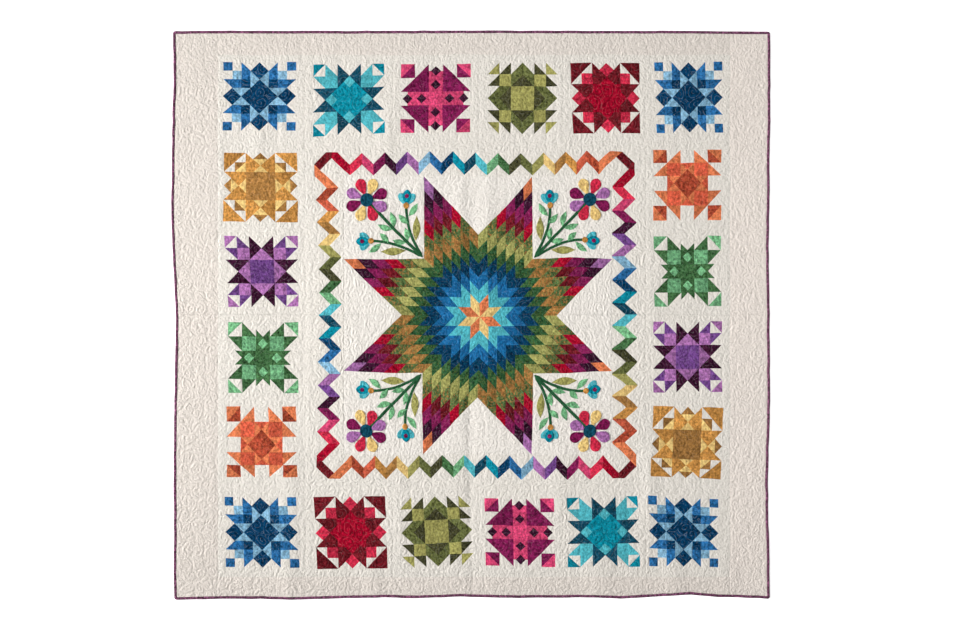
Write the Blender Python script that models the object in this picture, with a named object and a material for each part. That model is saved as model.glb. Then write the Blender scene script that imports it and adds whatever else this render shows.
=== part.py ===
"""Star quilt blanket, lying flat and face up on a floor at z = 0.

Metres, +Z up, +X to the right of the face and +Y to its top edge. The origin
is the middle of the blanket's underside. Plan sizes are in inches, because
the blocks are cut in inches, and the seam tables say where they really lie.
"""

import math

import bmesh
import bpy
import numpy as np

# Sizes of the sewn plan, in inches
BLOCK = 12.0
BLOCKS_ACROSS = 6
CORE_HALF = 36.0
MEDALLION_HALF = 24.0
STAR_HALF = 18.8
STAR_EDGE = STAR_HALF / (1.0 + math.sqrt(0.5))
STAR_NOTCH = STAR_EDGE * math.sqrt(0.5)
STAR_POINTS = 8

# Sizes of the cloth, in metres
SEAM_HEIGHT = 0.0042
PATCH_CROWN = 0.0013
BORDER_CROWN = 0.0010
SQUARE_TOP = 0.0050
PIECE_INSET = 0.0002
STAR_INSET = 0.0012
TRIANGLE_TRIM = 3.5
BINDING_WIDTH = 0.0092
SPRAY_THICKNESS = 0.0008
SPRAY_LIFT = 0.0004

# Small unevenness of every seam, in metres
WOBBLE = 0.0010
WOBBLE_X_PERIOD = 0.41
WOBBLE_Y_PERIOD = 0.47

# Middle of the uneven outline, taken off so that the origin is centred
MIDDLE_X = -0.0012
MIDDLE_Y = -0.0028

# Seams that run up the face: plan inches, metres from the middle
COLUMN_SEAMS = (
    (-36.0, -0.901),
    (-24.0, -0.590),
    (-18.8, -0.453),
    (-12.0, -0.279),
    (0.0, 0.028),
    (12.0, 0.326),
    (18.8, 0.501),
    (24.0, 0.621),
    (36.0, 0.920),
)

# Seams that run across the face: plan inches, metres from the middle
ROW_SEAMS = (
    (-36.0, -0.936),
    (-24.0, -0.618),
    (-18.8, -0.500),
    (-12.0, -0.308),
    (0.0, -0.006),
    (12.0, 0.304),
    (18.8, 0.489),
    (24.0, 0.613),
    (36.0, 0.921),
)

# Inside the star's square: share of its half side, column x, row y
STAR_SEAMS = (
    (-1.0, -0.453, -0.500),
    (-0.414, -0.170, -0.204),
    (0.0, 0.030, -0.011),
    (0.414, 0.215, 0.194),
    (1.0, 0.501, 0.489),
)

# Long edges as they lie: y, left edge x, right edge x
SIDE_EDGES = (
    (-1.011, -1.058, 1.061),
    (-0.876, -1.059, 1.060),
    (-0.734, -1.059, 1.057),
    (-0.591, -1.060, 1.055),
    (-0.449, -1.059, 1.058),
    (-0.307, -1.057, 1.061),
    (-0.164, -1.054, 1.061),
    (-0.022, -1.054, 1.061),
    (0.120, -1.059, 1.059),
    (0.263, -1.064, 1.058),
    (0.405, -1.068, 1.059),
    (0.547, -1.066, 1.060),
    (0.689, -1.064, 1.064),
    (0.832, -1.061, 1.064),
    (1.010, -1.061, 1.064),
)

# Short edges as they lie: x, bottom edge y, top edge y
END_EDGES = (
    (-1.061, -1.017, 1.008),
    (-0.894, -1.012, 1.008),
    (-0.752, -1.012, 1.009),
    (-0.609, -1.014, 1.008),
    (-0.467, -1.011, 1.008),
    (-0.325, -1.007, 1.008),
    (-0.182, -1.010, 1.009),
    (-0.040, -1.005, 1.010),
    (0.102, -1.009, 1.010),
    (0.244, -1.008, 1.009),
    (0.387, -1.007, 1.008),
    (0.529, -1.010, 1.008),
    (0.671, -1.002, 1.008),
    (0.778, -0.998, 1.008),
    (0.885, -1.006, 1.007),
    (1.062, -1.010, 1.006),
)

# Soft folds left from folding: x, half width, low y, high y, rise
FOLDS = (
    (0.059, 0.045, 0.40, 1.20, 0.0030),
    (0.059, 0.045, -1.20, -0.56, 0.0032),
    (-0.257, 0.050, -1.20, -0.60, 0.0028),
    (-0.659, 0.055, -1.20, -0.30, 0.0030),
    (0.287, 0.055, 0.60, 1.20, 0.0030),
    (0.287, 0.055, -1.20, -0.60, 0.0030),
    (0.700, 0.060, -1.20, 1.20, 0.0026),
)
FOLD_FADE = 0.08

# Section of the binding from the outer edge in: height of each line
BINDING_SECTION = (0.0022, 0.0056, 0.0062, 0.0050)

# Half outline of a flower spray: distance from the notch, half breadth
SPRAY_HALF = (
    (0.0060, 0.0040),
    (0.0140, 0.0080),
    (0.0566, 0.0186),
    (0.0660, 0.0240),
    (0.0855, 0.0646),
    (0.1250, 0.0880),
    (0.1055, 0.0464),
    (0.0730, 0.0265),
    (0.0982, 0.0363),
    (0.1366, 0.0601),
    (0.1420, 0.0635),
    (0.1376, 0.0945),
    (0.1520, 0.1200),
    (0.1584, 0.0915),
    (0.1500, 0.0680),
    (0.1680, 0.0870),
    (0.1630, 0.1120),
    (0.1790, 0.1340),
    (0.1900, 0.1170),
    (0.2090, 0.1260),
    (0.2030, 0.1080),
    (0.2200, 0.0960),
    (0.1980, 0.0800),
    (0.1780, 0.0800),
    (0.1600, 0.0660),
    (0.1720, 0.0460),
    (0.1480, 0.0375),
    (0.1260, 0.0420),
    (0.1026, 0.0279),
    (0.0610, 0.0102),
    (0.0450, 0.0052),
    (0.0850, 0.0052),
    (0.1005, 0.0220),
    (0.1220, 0.0295),
    (0.1103, 0.0089),
    (0.0940, 0.0052),
    (0.1500, 0.0052),
    (0.1687, 0.0261),
    (0.1980, 0.0310),
    (0.1793, 0.0079),
    (0.1620, 0.0052),
)
FLOWER_MIDDLE = 0.283
FLOWER_RADIUS = 0.066
FLOWER_SCALLOP = 0.14
FLOWER_PETALS = 8
FLOWER_STEPS = 24
FLOWER_OPENING = 175.5

# Grid cells of each kind of piece
BLOCK_CELLS = 5
POINT_CELLS = 6
SQUARE_CELLS = 5
TRIANGLE_CELLS = 5
ZIGZAG_CELLS = (16, 2)
SIDE_BORDER_CELLS = (24, 3)
END_BORDER_CELLS = (20, 2)

# Colours, linear red, green and blue
CREAM = (0.80, 0.75, 0.68)
BEIGE = (0.70, 0.64, 0.55)
PLUM = (0.060, 0.012, 0.040)
STAR_COLOUR = (0.30, 0.16, 0.10)
SPRAY_COLOUR = (0.10, 0.22, 0.10)
ZIGZAG_COLOUR = (0.45, 0.32, 0.30)
BLOCK_COLOURS = {
    "blue": (0.10, 0.22, 0.42),
    "teal": (0.12, 0.38, 0.42),
    "pink": (0.50, 0.06, 0.18),
    "olive": (0.26, 0.28, 0.10),
    "red": (0.52, 0.03, 0.08),
    "orange": (0.60, 0.18, 0.08),
    "green": (0.08, 0.30, 0.14),
    "purple": (0.26, 0.12, 0.34),
    "gold": (0.52, 0.32, 0.10),
}

# Blocks in order clockwise from the top left, twice round
BLOCK_ORDER = ("blue", "teal", "pink", "olive", "red", "blue", "orange", "green", "purple", "gold")


def column(table, index):
    """Return one column of a table as an array."""
    return np.array([row[index] for row in table])


def from_table(table, values, index=1):
    """Read a table at the given values of its first column."""
    return np.interp(values, column(table, 0), column(table, index))


def settle(x, y):
    """Add the small unevenness that every seam and edge shares."""
    x_turn = 2.0 * math.pi * y / WOBBLE_X_PERIOD
    y_turn = 2.0 * math.pi * x / WOBBLE_Y_PERIOD
    return x - MIDDLE_X + WOBBLE * np.sin(x_turn + 0.6), y - MIDDLE_Y + WOBBLE * np.sin(y_turn + 1.9)


def lie(x, y):
    """Height of the seams, with the soft folds, at points of the face."""
    height = np.full(np.shape(x), SEAM_HEIGHT)
    for fold_x, half_width, low, high, rise in FOLDS:
        across = np.exp(-(((x - fold_x) / half_width) ** 2))
        start = 1.0 / (1.0 + np.exp(-(y - low) / FOLD_FADE * 4.0))
        end = 1.0 / (1.0 + np.exp((y - high) / FOLD_FADE * 4.0))
        height = height + rise * across * start * end
    return height


def inset(share, length, margin=PIECE_INSET):
    """Draw a 0 to 1 share in at both ends by a margin, for a given length."""
    trim = margin / length
    return trim + share * (1.0 - 2.0 * trim)


def rectangle(left, right, low, high):
    """Return a placing function for an upright rectangle in metres."""
    def place(a, b):
        x = left + (right - left) * inset(a, right - left)
        y = low + (high - low) * inset(b, high - low)
        return settle(x, y)
    return place


def plan_rectangle(left, right, low, high):
    """Return a placing function for a rectangle given in plan inches."""
    x_low, x_high = from_table(COLUMN_SEAMS, (left, right))
    y_low, y_high = from_table(ROW_SEAMS, (low, high))
    return rectangle(x_low, x_high, y_low, y_high)


def star_place(u, v):
    """Place star plan inches inside the star's square."""
    x = np.interp(u / STAR_HALF, column(STAR_SEAMS, 0), column(STAR_SEAMS, 1))
    y = np.interp(v / STAR_HALF, column(STAR_SEAMS, 0), column(STAR_SEAMS, 2))
    return settle(x, y)


def direction(degrees):
    """Unit vector at an angle from +X."""
    angle = math.radians(degrees)
    return math.cos(angle), math.sin(angle)


def star_point_place(number):
    """Return a placing function for one diamond point of the star."""
    first = direction(45.0 * number)
    second = direction(45.0 * (number + 1))

    def place(a, b):
        near = STAR_INSET + a * (1.0 - 2.0 * STAR_INSET)
        far = STAR_INSET + b * (1.0 - 2.0 * STAR_INSET)
        u = STAR_EDGE * (near * first[0] + far * second[0])
        v = STAR_EDGE * (near * first[1] + far * second[1])
        return star_place(u, v)
    return place


def star_square_place(right, up):
    """Return a placing function for a corner square of the star."""
    def place(a, b):
        near = STAR_INSET + a * (1.0 - 2.0 * STAR_INSET)
        far = STAR_INSET + b * (1.0 - 2.0 * STAR_INSET)
        return star_place(right * (STAR_NOTCH + STAR_EDGE * near), up * (STAR_NOTCH + STAR_EDGE * far))
    return place


def star_triangle_place(degrees):
    """Return a placing function for a setting triangle of the star."""
    notch = direction(degrees)
    first = direction(degrees + 45.0)
    second = direction(degrees - 45.0)

    def place(a, b):
        near = STAR_INSET + a * (1.0 - TRIANGLE_TRIM * STAR_INSET)
        far = STAR_INSET + b * (1.0 - TRIANGLE_TRIM * STAR_INSET)
        u = STAR_EDGE * (notch[0] + near * first[0] + far * second[0])
        v = STAR_EDGE * (notch[1] + near * first[1] + far * second[1])
        return star_place(u, v)
    return place


def side_border_place(edge_index, seam):
    """Return a placing function for a tall side border."""
    inward = 1.0 if edge_index == 1 else -1.0
    seam_x = from_table(COLUMN_SEAMS, seam)
    margin = BINDING_WIDTH + 2.0 * PIECE_INSET

    def place(a, b):
        outer = column(SIDE_EDGES, edge_index).mean()
        x = outer + (seam_x - outer) * a
        y_low = from_table(END_EDGES, x, 1) + margin
        y_high = from_table(END_EDGES, x, 2) - margin
        y = y_low + (y_high - y_low) * b
        outer = from_table(SIDE_EDGES, y, edge_index) + inward * margin
        inner = seam_x - inward * PIECE_INSET
        return settle(outer + (inner - outer) * a, y)
    return place


def end_border_place(edge_index, seam):
    """Return a placing function for a top or bottom border."""
    inward = 1.0 if edge_index == 1 else -1.0
    seam_y = from_table(ROW_SEAMS, seam)
    left, right = from_table(COLUMN_SEAMS, (-CORE_HALF, CORE_HALF))
    margin = BINDING_WIDTH + 2.0 * PIECE_INSET

    def place(a, b):
        x = left + (right - left) * inset(a, right - left)
        outer = from_table(END_EDGES, x, edge_index) + inward * margin
        inner = seam_y - inward * PIECE_INSET
        return settle(x, outer + (inner - outer) * b)
    return place


def side_binding_place(edge_index):
    """Return a placing function for the binding of a long edge."""
    inward = 1.0 if edge_index == 1 else -1.0

    def place(a, b):
        depth = BINDING_WIDTH * b
        corner_x = column(SIDE_EDGES, edge_index).mean()
        y_low = from_table(END_EDGES, corner_x, 1) + depth + PIECE_INSET
        y_high = from_table(END_EDGES, corner_x, 2) - depth - PIECE_INSET
        y = y_low + (y_high - y_low) * a
        return settle(from_table(SIDE_EDGES, y, edge_index) + inward * depth, y)
    return place


def end_stations():
    """Return x of every line of the end bindings, matched to the borders."""
    left, right = from_table(COLUMN_SEAMS, (-CORE_HALF, CORE_HALF))
    outer_left = column(SIDE_EDGES, 1).mean() + BINDING_WIDTH
    outer_right = column(SIDE_EDGES, 2).mean() - BINDING_WIDTH
    lead = np.linspace(outer_left, left, SIDE_BORDER_CELLS[1] + 1)
    middle = np.linspace(left, right, END_BORDER_CELLS[0] + 1)
    tail = np.linspace(right, outer_right, SIDE_BORDER_CELLS[1] + 1)
    return np.concatenate((lead, middle[1:-1], tail))


def end_binding_place(edge_index):
    """Return a placing function for the binding of a short edge."""
    inward = 1.0 if edge_index == 1 else -1.0
    stations = end_stations()
    shares = np.linspace(0.0, 1.0, len(stations))

    def place(a, b):
        depth = BINDING_WIDTH * b
        corner_y = from_table(END_EDGES, (stations[0], stations[-1]), edge_index)
        corner_x = from_table(SIDE_EDGES, corner_y[0], 1), from_table(SIDE_EDGES, corner_y[1], 2)
        lines = stations.copy()
        lines[0] = corner_x[0] + depth + PIECE_INSET
        lines[-1] = corner_x[1] - depth - PIECE_INSET
        x = np.interp(a, shares, lines)
        return settle(x, from_table(END_EDGES, x, edge_index) + inward * depth)
    return place


def make_material(name, colour):
    """Make a plain matt cloth material."""
    material = bpy.data.materials.new(name)
    material.use_nodes = True
    shader = material.node_tree.nodes["Principled BSDF"]
    shader.inputs["Base Color"].default_value = (*colour, 1.0)
    shader.inputs["Roughness"].default_value = 0.9
    shader.inputs["Metallic"].default_value = 0.0
    material.diffuse_color = (*colour, 1.0)
    return material


def add_object(collection, name, data, colour):
    """Link an object with its own material to the collection."""
    data.materials.append(make_material(name, colour))
    thing = bpy.data.objects.new(name, data)
    collection.objects.link(thing)
    return thing


def cloth_piece(collection, name, colour, cells, place, crown=PATCH_CROWN, level=None, section=None, half=False):
    """Make one flat-bottomed cloth piece from a grid.

    place maps grid shares a and b, each 0 to 1, to metres. The middle of each
    cell is raised by crown over the seams, or the inner lines lie at level,
    or the lines across have the heights of section.
    """
    grid = bmesh.new()
    bmesh.ops.create_grid(grid, x_segments=cells[0], y_segments=cells[1], size=0.5)
    bmesh.ops.translate(grid, verts=grid.verts, vec=(0.5, 0.5, 0.0))
    if half:
        bmesh.ops.bisect_plane(
            grid,
            geom=list(grid.verts) + list(grid.edges) + list(grid.faces),
            dist=0.0001,
            plane_co=(0.5, 0.5, 0.0),
            plane_no=(1.0, 1.0, 0.0),
            clear_outer=True,
        )
    rim = grid.verts.layers.int.new("rim")
    for vert in grid.verts:
        vert[rim] = int(vert.is_boundary)
    under = list(grid.faces)
    raised = bmesh.ops.extrude_face_region(grid, geom=under, use_keep_orig=True)["geom"]
    top_verts = [item for item in raised if isinstance(item, bmesh.types.BMVert)]
    top_faces = [item for item in raised if isinstance(item, bmesh.types.BMFace)]
    middles = []
    if level is None and section is None:
        middles = bmesh.ops.poke(grid, faces=top_faces)["verts"]
    raised_set = set(top_verts) | set(middles)
    middle_set = set(middles)
    for vert in grid.verts:
        a, b = vert.co.x, vert.co.y
        x, y = place(np.float64(a), np.float64(b))
        height = 0.0
        if vert in raised_set:
            height = float(lie(x, y))
            if vert in middle_set:
                height += crown
            if level is not None and vert[rim] == 0:
                height = level
            if section is not None:
                lines = np.linspace(0.0, 1.0, len(section))
                height = float(np.interp(b, lines, section))
        vert.co = (float(x), float(y), height)
    bmesh.ops.recalc_face_normals(grid, faces=grid.faces)
    mesh = bpy.data.meshes.new(name)
    grid.to_mesh(mesh)
    grid.free()
    return add_object(collection, name, mesh, colour)


def spray_outline():
    """Closed outline of a flower spray, its stem along +X from the origin."""
    start = math.radians(FLOWER_OPENING)
    half = list(SPRAY_HALF)
    for step in range(FLOWER_STEPS):
        angle = start * (1.0 - step / FLOWER_STEPS)
        radius = FLOWER_RADIUS * (1.0 - FLOWER_SCALLOP * math.cos(FLOWER_PETALS * angle))
        half.append((FLOWER_MIDDLE + radius * math.cos(angle), radius * math.sin(angle)))
    tip = (FLOWER_MIDDLE + FLOWER_RADIUS * (1.0 - FLOWER_SCALLOP), 0.0)
    mirrored = [(along, -across) for along, across in reversed(half)]
    return half + [tip] + mirrored


def flower_spray(collection, name, right, up):
    """Make one sewn-on spray, flat on its corner square."""
    curve = bpy.data.curves.new(name, "CURVE")
    curve.dimensions = "2D"
    curve.fill_mode = "BOTH"
    curve.extrude = SPRAY_THICKNESS / 2.0
    outline = spray_outline()
    spline = curve.splines.new("POLY")
    spline.points.add(len(outline) - 1)
    for point, (along, across) in zip(spline.points, outline):
        point.co = (along, across, 0.0, 1.0)
    spline.use_cyclic_u = True
    spray = add_object(collection, name, curve, SPRAY_COLOUR)
    corner_x, corner_y = star_place(right * STAR_NOTCH, up * STAR_NOTCH)
    height = SQUARE_TOP + SPRAY_LIFT + SPRAY_THICKNESS / 2.0
    spray.location = (float(corner_x), float(corner_y), height)
    spray.rotation_euler = (0.0, 0.0, math.atan2(up, right))
    return spray


def block_cell(number):
    """Column and row of a block, counted clockwise from the top left."""
    last = BLOCKS_ACROSS - 1
    side, step = divmod(number, last)
    places = ((step, 0), (last, step), (last - step, last), (0, last - step))
    return places[side]


def build_blocks(collection):
    """Make the ring of pieced blocks."""
    for number in range(4 * (BLOCKS_ACROSS - 1)):
        across, down = block_cell(number)
        colour = BLOCK_ORDER[number % len(BLOCK_ORDER)]
        left = -CORE_HALF + BLOCK * across
        high = CORE_HALF - BLOCK * down
        place = plan_rectangle(left, left + BLOCK, high - BLOCK, high)
        name = f"block_{number + 1:02d}_{colour}"
        cloth_piece(collection, name, BLOCK_COLOURS[colour], (BLOCK_CELLS, BLOCK_CELLS), place)


def build_star(collection):
    """Make the star's points, corner squares, triangles and sprays."""
    for number in range(STAR_POINTS):
        place = star_point_place(number)
        cloth_piece(collection, f"star_point_{number + 1}", STAR_COLOUR, (POINT_CELLS, POINT_CELLS), place)
    for name, right, up in (("ne", 1, 1), ("nw", -1, 1), ("sw", -1, -1), ("se", 1, -1)):
        place = star_square_place(right, up)
        cells = (SQUARE_CELLS, SQUARE_CELLS)
        cloth_piece(collection, f"star_square_{name}", CREAM, cells, place, level=SQUARE_TOP)
        flower_spray(collection, f"flower_spray_{name}", right, up)
    for name, degrees in (("e", 0.0), ("n", 90.0), ("w", 180.0), ("s", 270.0)):
        place = star_triangle_place(degrees)
        cells = (TRIANGLE_CELLS, TRIANGLE_CELLS)
        cloth_piece(collection, f"star_triangle_{name}", CREAM, cells, place, half=True)


def build_zigzag(collection):
    """Make the four zigzag strips round the star."""
    full, inner = MEDALLION_HALF, STAR_HALF
    long_cells = ZIGZAG_CELLS
    tall_cells = ZIGZAG_CELLS[::-1]
    cloth_piece(collection, "zigzag_n", ZIGZAG_COLOUR, long_cells, plan_rectangle(-full, full, inner, full))
    cloth_piece(collection, "zigzag_s", ZIGZAG_COLOUR, long_cells, plan_rectangle(-full, full, -full, -inner))
    cloth_piece(collection, "zigzag_e", ZIGZAG_COLOUR, tall_cells, plan_rectangle(inner, full, -inner, inner))
    cloth_piece(collection, "zigzag_w", ZIGZAG_COLOUR, tall_cells, plan_rectangle(-full, -inner, -inner, inner))


def build_borders(collection):
    """Make the plain outer borders and the binding."""
    tall_cells = SIDE_BORDER_CELLS[::-1]
    for name, edge_index, seam in (("w", 1, -CORE_HALF), ("e", 2, CORE_HALF)):
        place = side_border_place(edge_index, seam)
        cloth_piece(collection, f"border_{name}", BEIGE, tall_cells, place, crown=BORDER_CROWN)
        place = side_binding_place(edge_index)
        cells = (SIDE_BORDER_CELLS[0], len(BINDING_SECTION) - 1)
        cloth_piece(collection, f"binding_{name}", PLUM, cells, place, section=BINDING_SECTION)
    for name, edge_index, seam in (("s", 1, -CORE_HALF), ("n", 2, CORE_HALF)):
        place = end_border_place(edge_index, seam)
        cloth_piece(collection, f"border_{name}", BEIGE, END_BORDER_CELLS, place, crown=BORDER_CROWN)
        place = end_binding_place(edge_index)
        cells = (len(end_stations()) - 1, len(BINDING_SECTION) - 1)
        cloth_piece(collection, f"binding_{name}", PLUM, cells, place, section=BINDING_SECTION)


def main():
    """Clear the scene and build the blanket."""
    for thing in list(bpy.data.objects):
        bpy.data.objects.remove(thing, do_unlink=True)
    collection = bpy.data.collections.new("star_quilt_blanket")
    bpy.context.scene.collection.children.link(collection)
    build_blocks(collection)
    build_star(collection)
    build_zigzag(collection)
    build_borders(collection)


main()
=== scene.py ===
"""Looks of a star quilt blanket that lies flat and face up on a pale floor.

Every sewn unit of the blanket is one closed sheet: a fine grid whose lines
follow the unit's seams, raised by the quilting, with walls and a flat
underside. Patch charts are drawn on each block's own unit grid.
"""

import logging
import math
from collections.abc import Callable
from dataclasses import dataclass, field
from enum import Enum, IntEnum
from itertools import product

import bpy
import numpy as np
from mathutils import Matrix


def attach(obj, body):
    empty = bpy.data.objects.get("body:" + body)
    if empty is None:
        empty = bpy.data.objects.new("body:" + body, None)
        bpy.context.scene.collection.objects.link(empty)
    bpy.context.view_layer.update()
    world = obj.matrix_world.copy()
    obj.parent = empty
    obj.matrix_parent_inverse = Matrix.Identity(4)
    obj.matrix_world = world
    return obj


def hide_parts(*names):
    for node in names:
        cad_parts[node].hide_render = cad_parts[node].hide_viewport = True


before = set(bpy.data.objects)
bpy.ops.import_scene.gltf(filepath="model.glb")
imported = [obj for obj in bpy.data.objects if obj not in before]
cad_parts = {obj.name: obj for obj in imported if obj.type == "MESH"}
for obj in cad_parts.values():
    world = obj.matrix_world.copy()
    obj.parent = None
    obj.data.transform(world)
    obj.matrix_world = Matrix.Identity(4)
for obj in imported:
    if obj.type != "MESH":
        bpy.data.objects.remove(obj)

LOG = logging.getLogger("star_quilt")

Array = np.ndarray
Table = tuple[tuple[float, ...], ...]
Pair = tuple[Array, Array]
Two = tuple[float, float]
Locate = Callable[[Array, Array], Pair]
Design = Callable[[Array, Array], Pair]
Piece = bpy.types.Object
Tree = bpy.types.NodeTree
Socket = bpy.types.NodeSocket
Value = float | tuple[float, ...] | Array | Socket

INCH = 0.0254
HALF_ROOT = math.sqrt(0.5)

# The zigzag's ring and the plain margin round it, in half periods
RING = 28.0
EDGE = 1.0


class Corner(Enum):
    """Corners of the face, as signs of x and y."""

    NE = (1, 1)
    NW = (-1, 1)
    SW = (-1, -1)
    SE = (1, -1)


class Side(Enum):
    """Sides of the face: the angle they face, in degrees."""

    E = 0
    N = 90
    W = 180
    S = 270


class MotifForm(Enum):
    """Outline of a sewn-on cloth shape along its length."""

    STEM = "stem"
    LEAF = "leaf"
    PETAL = "petal"
    ROUND = "round"
    BUD = "bud"


class LampKind(Enum):
    """Blender's kinds of light that the studio uses."""

    SUN = "SUN"
    AREA = "AREA"
    SPOT = "SPOT"


class Seed(IntEnum):
    """Chooses the fixed uneven field of each use."""

    WARP_X = 3
    WARP_Y = 4
    FINE_WARP_X = 5
    FINE_WARP_Y = 6
    CURL_X = 11
    CURL_Y = 12
    CURL_SPIN = 13
    CURL_PHASE = 14
    PUCKER = 21
    SWELL = 31
    POINT_TONE = 40
    PULL_X = 51
    PULL_Y = 52
    BINDING = 60
    ZIGZAG_TONE = 71


@dataclass(frozen=True)
class Cotton:
    """A printed quilting cotton.

    Args:
        name: Name of the cloth and of its material.
        colour: Mean colour as 8-bit display red, green and blue.
        mottle: Strength of the hand-dyed clouds, 0 for a plain cloth.
        thread: How clearly the quilting thread shows on it, 0 to 1.
        fleck: Second dye colour that shows in small flecks.
        flecks: Strength of the flecks, 0 to 1.
    """

    name: str
    colour: tuple[int, int, int]
    mottle: float = 0.30
    thread: float = 0.24
    fleck: tuple[int, int, int] = (128, 128, 128)
    flecks: float = 0.0


COTTONS: tuple[Cotton, ...] = (
    Cotton("ivory", (234, 228, 219), 0.03, 0.0),
    Cotton("white", (239, 233, 225), 0.03, 0.0),
    Cotton("beige", (231, 222, 213), 0.04, 0.0),
    # The border beige painted lighter: a paler copy that offsets the shade falling on the east border
    Cotton("beige_painted_lighter", (241, 231, 222), 0.04, 0.0),
    Cotton("navy", (8, 59, 95), 0.64, 0.38),
    Cotton("blue", (42, 105, 159), 0.68, 0.16),
    Cotton("sky", (132, 177, 205), 0.44, 0.10),
    Cotton("teal", (11, 135, 156), 0.46, 0.12),
    Cotton("aqua", (82, 180, 192), 0.30, 0.12),
    Cotton("deep_teal", (20, 72, 93), 0.57, 0.30),
    Cotton("rose", (215, 70, 114), 0.50, 0.14),
    Cotton("plum", (123, 28, 78), 0.66, 0.16),
    Cotton("blackcurrant", (56, 20, 44), 0.78, 0.28),
    Cotton("olive", (161, 157, 91), 0.38, 0.10),
    Cotton("moss", (95, 101, 57), 0.74, 0.16, (134, 138, 82), 0.35),
    Cotton("dark_moss", (64, 64, 40), 0.64, 0.22, (108, 106, 70), 0.40),
    Cotton("crimson", (159, 12, 41), 0.56, 0.16),
    Cotton("maroon", (107, 25, 34), 0.64, 0.18),
    Cotton("scarlet", (202, 45, 72), 0.50, 0.14),
    Cotton("orange", (216, 121, 79), 0.42, 0.08),
    Cotton("rust", (159, 66, 46), 0.70, 0.12, (200, 104, 66), 0.40),
    Cotton("coral", (212, 93, 67), 0.46, 0.10),
    Cotton("mint", (120, 182, 132), 0.60, 0.10, (92, 146, 104), 0.40),
    Cotton("forest", (59, 98, 59), 0.78, 0.18, (100, 142, 92), 0.40),
    Cotton("leaf_green", (44, 92, 60), 0.27, 0.10),
    Cotton("violet", (108, 65, 132), 0.58, 0.16, (148, 106, 168), 0.35),
    Cotton("lilac", (170, 112, 170), 0.52, 0.10, (128, 80, 142), 0.40),
    Cotton("brown_gold", (161, 116, 63), 0.47, 0.12),
    Cotton("gold", (196, 139, 71), 0.48, 0.10),
    Cotton("straw", (243, 198, 126), 0.30, 0.08),
    Cotton("star_plum", (129, 32, 82), 0.50, 0.16),
    Cotton("star_moss", (79, 104, 60), 0.62, 0.12, (172, 118, 66), 0.85),
    Cotton("star_tan", (166, 116, 64), 0.50, 0.10, (88, 108, 58), 0.80),
    Cotton("star_green", (45, 86, 52), 0.70, 0.16, (96, 116, 60), 0.60),
    Cotton("star_olive", (169, 166, 98), 0.34, 0.08, (110, 122, 64), 0.80),
    Cotton("star_navy", (7, 52, 84), 0.60, 0.22, (24, 96, 120), 0.4),
    Cotton("star_blue", (30, 106, 159), 0.34, 0.16, (20, 66, 120), 0.60),
    Cotton("star_yellow", (243, 200, 130), 0.27, 0.06),
    Cotton("brick", (194, 90, 65), 0.46, 0.10),
    Cotton("binding_plum", (100, 63, 83), 0.55, 0.10, (176, 110, 150), 0.85),
)
CLOTH = {cotton.name: number for number, cotton in enumerate(COTTONS)}
GROUND = "ivory"
STAR_GROUND = "white"


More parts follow.
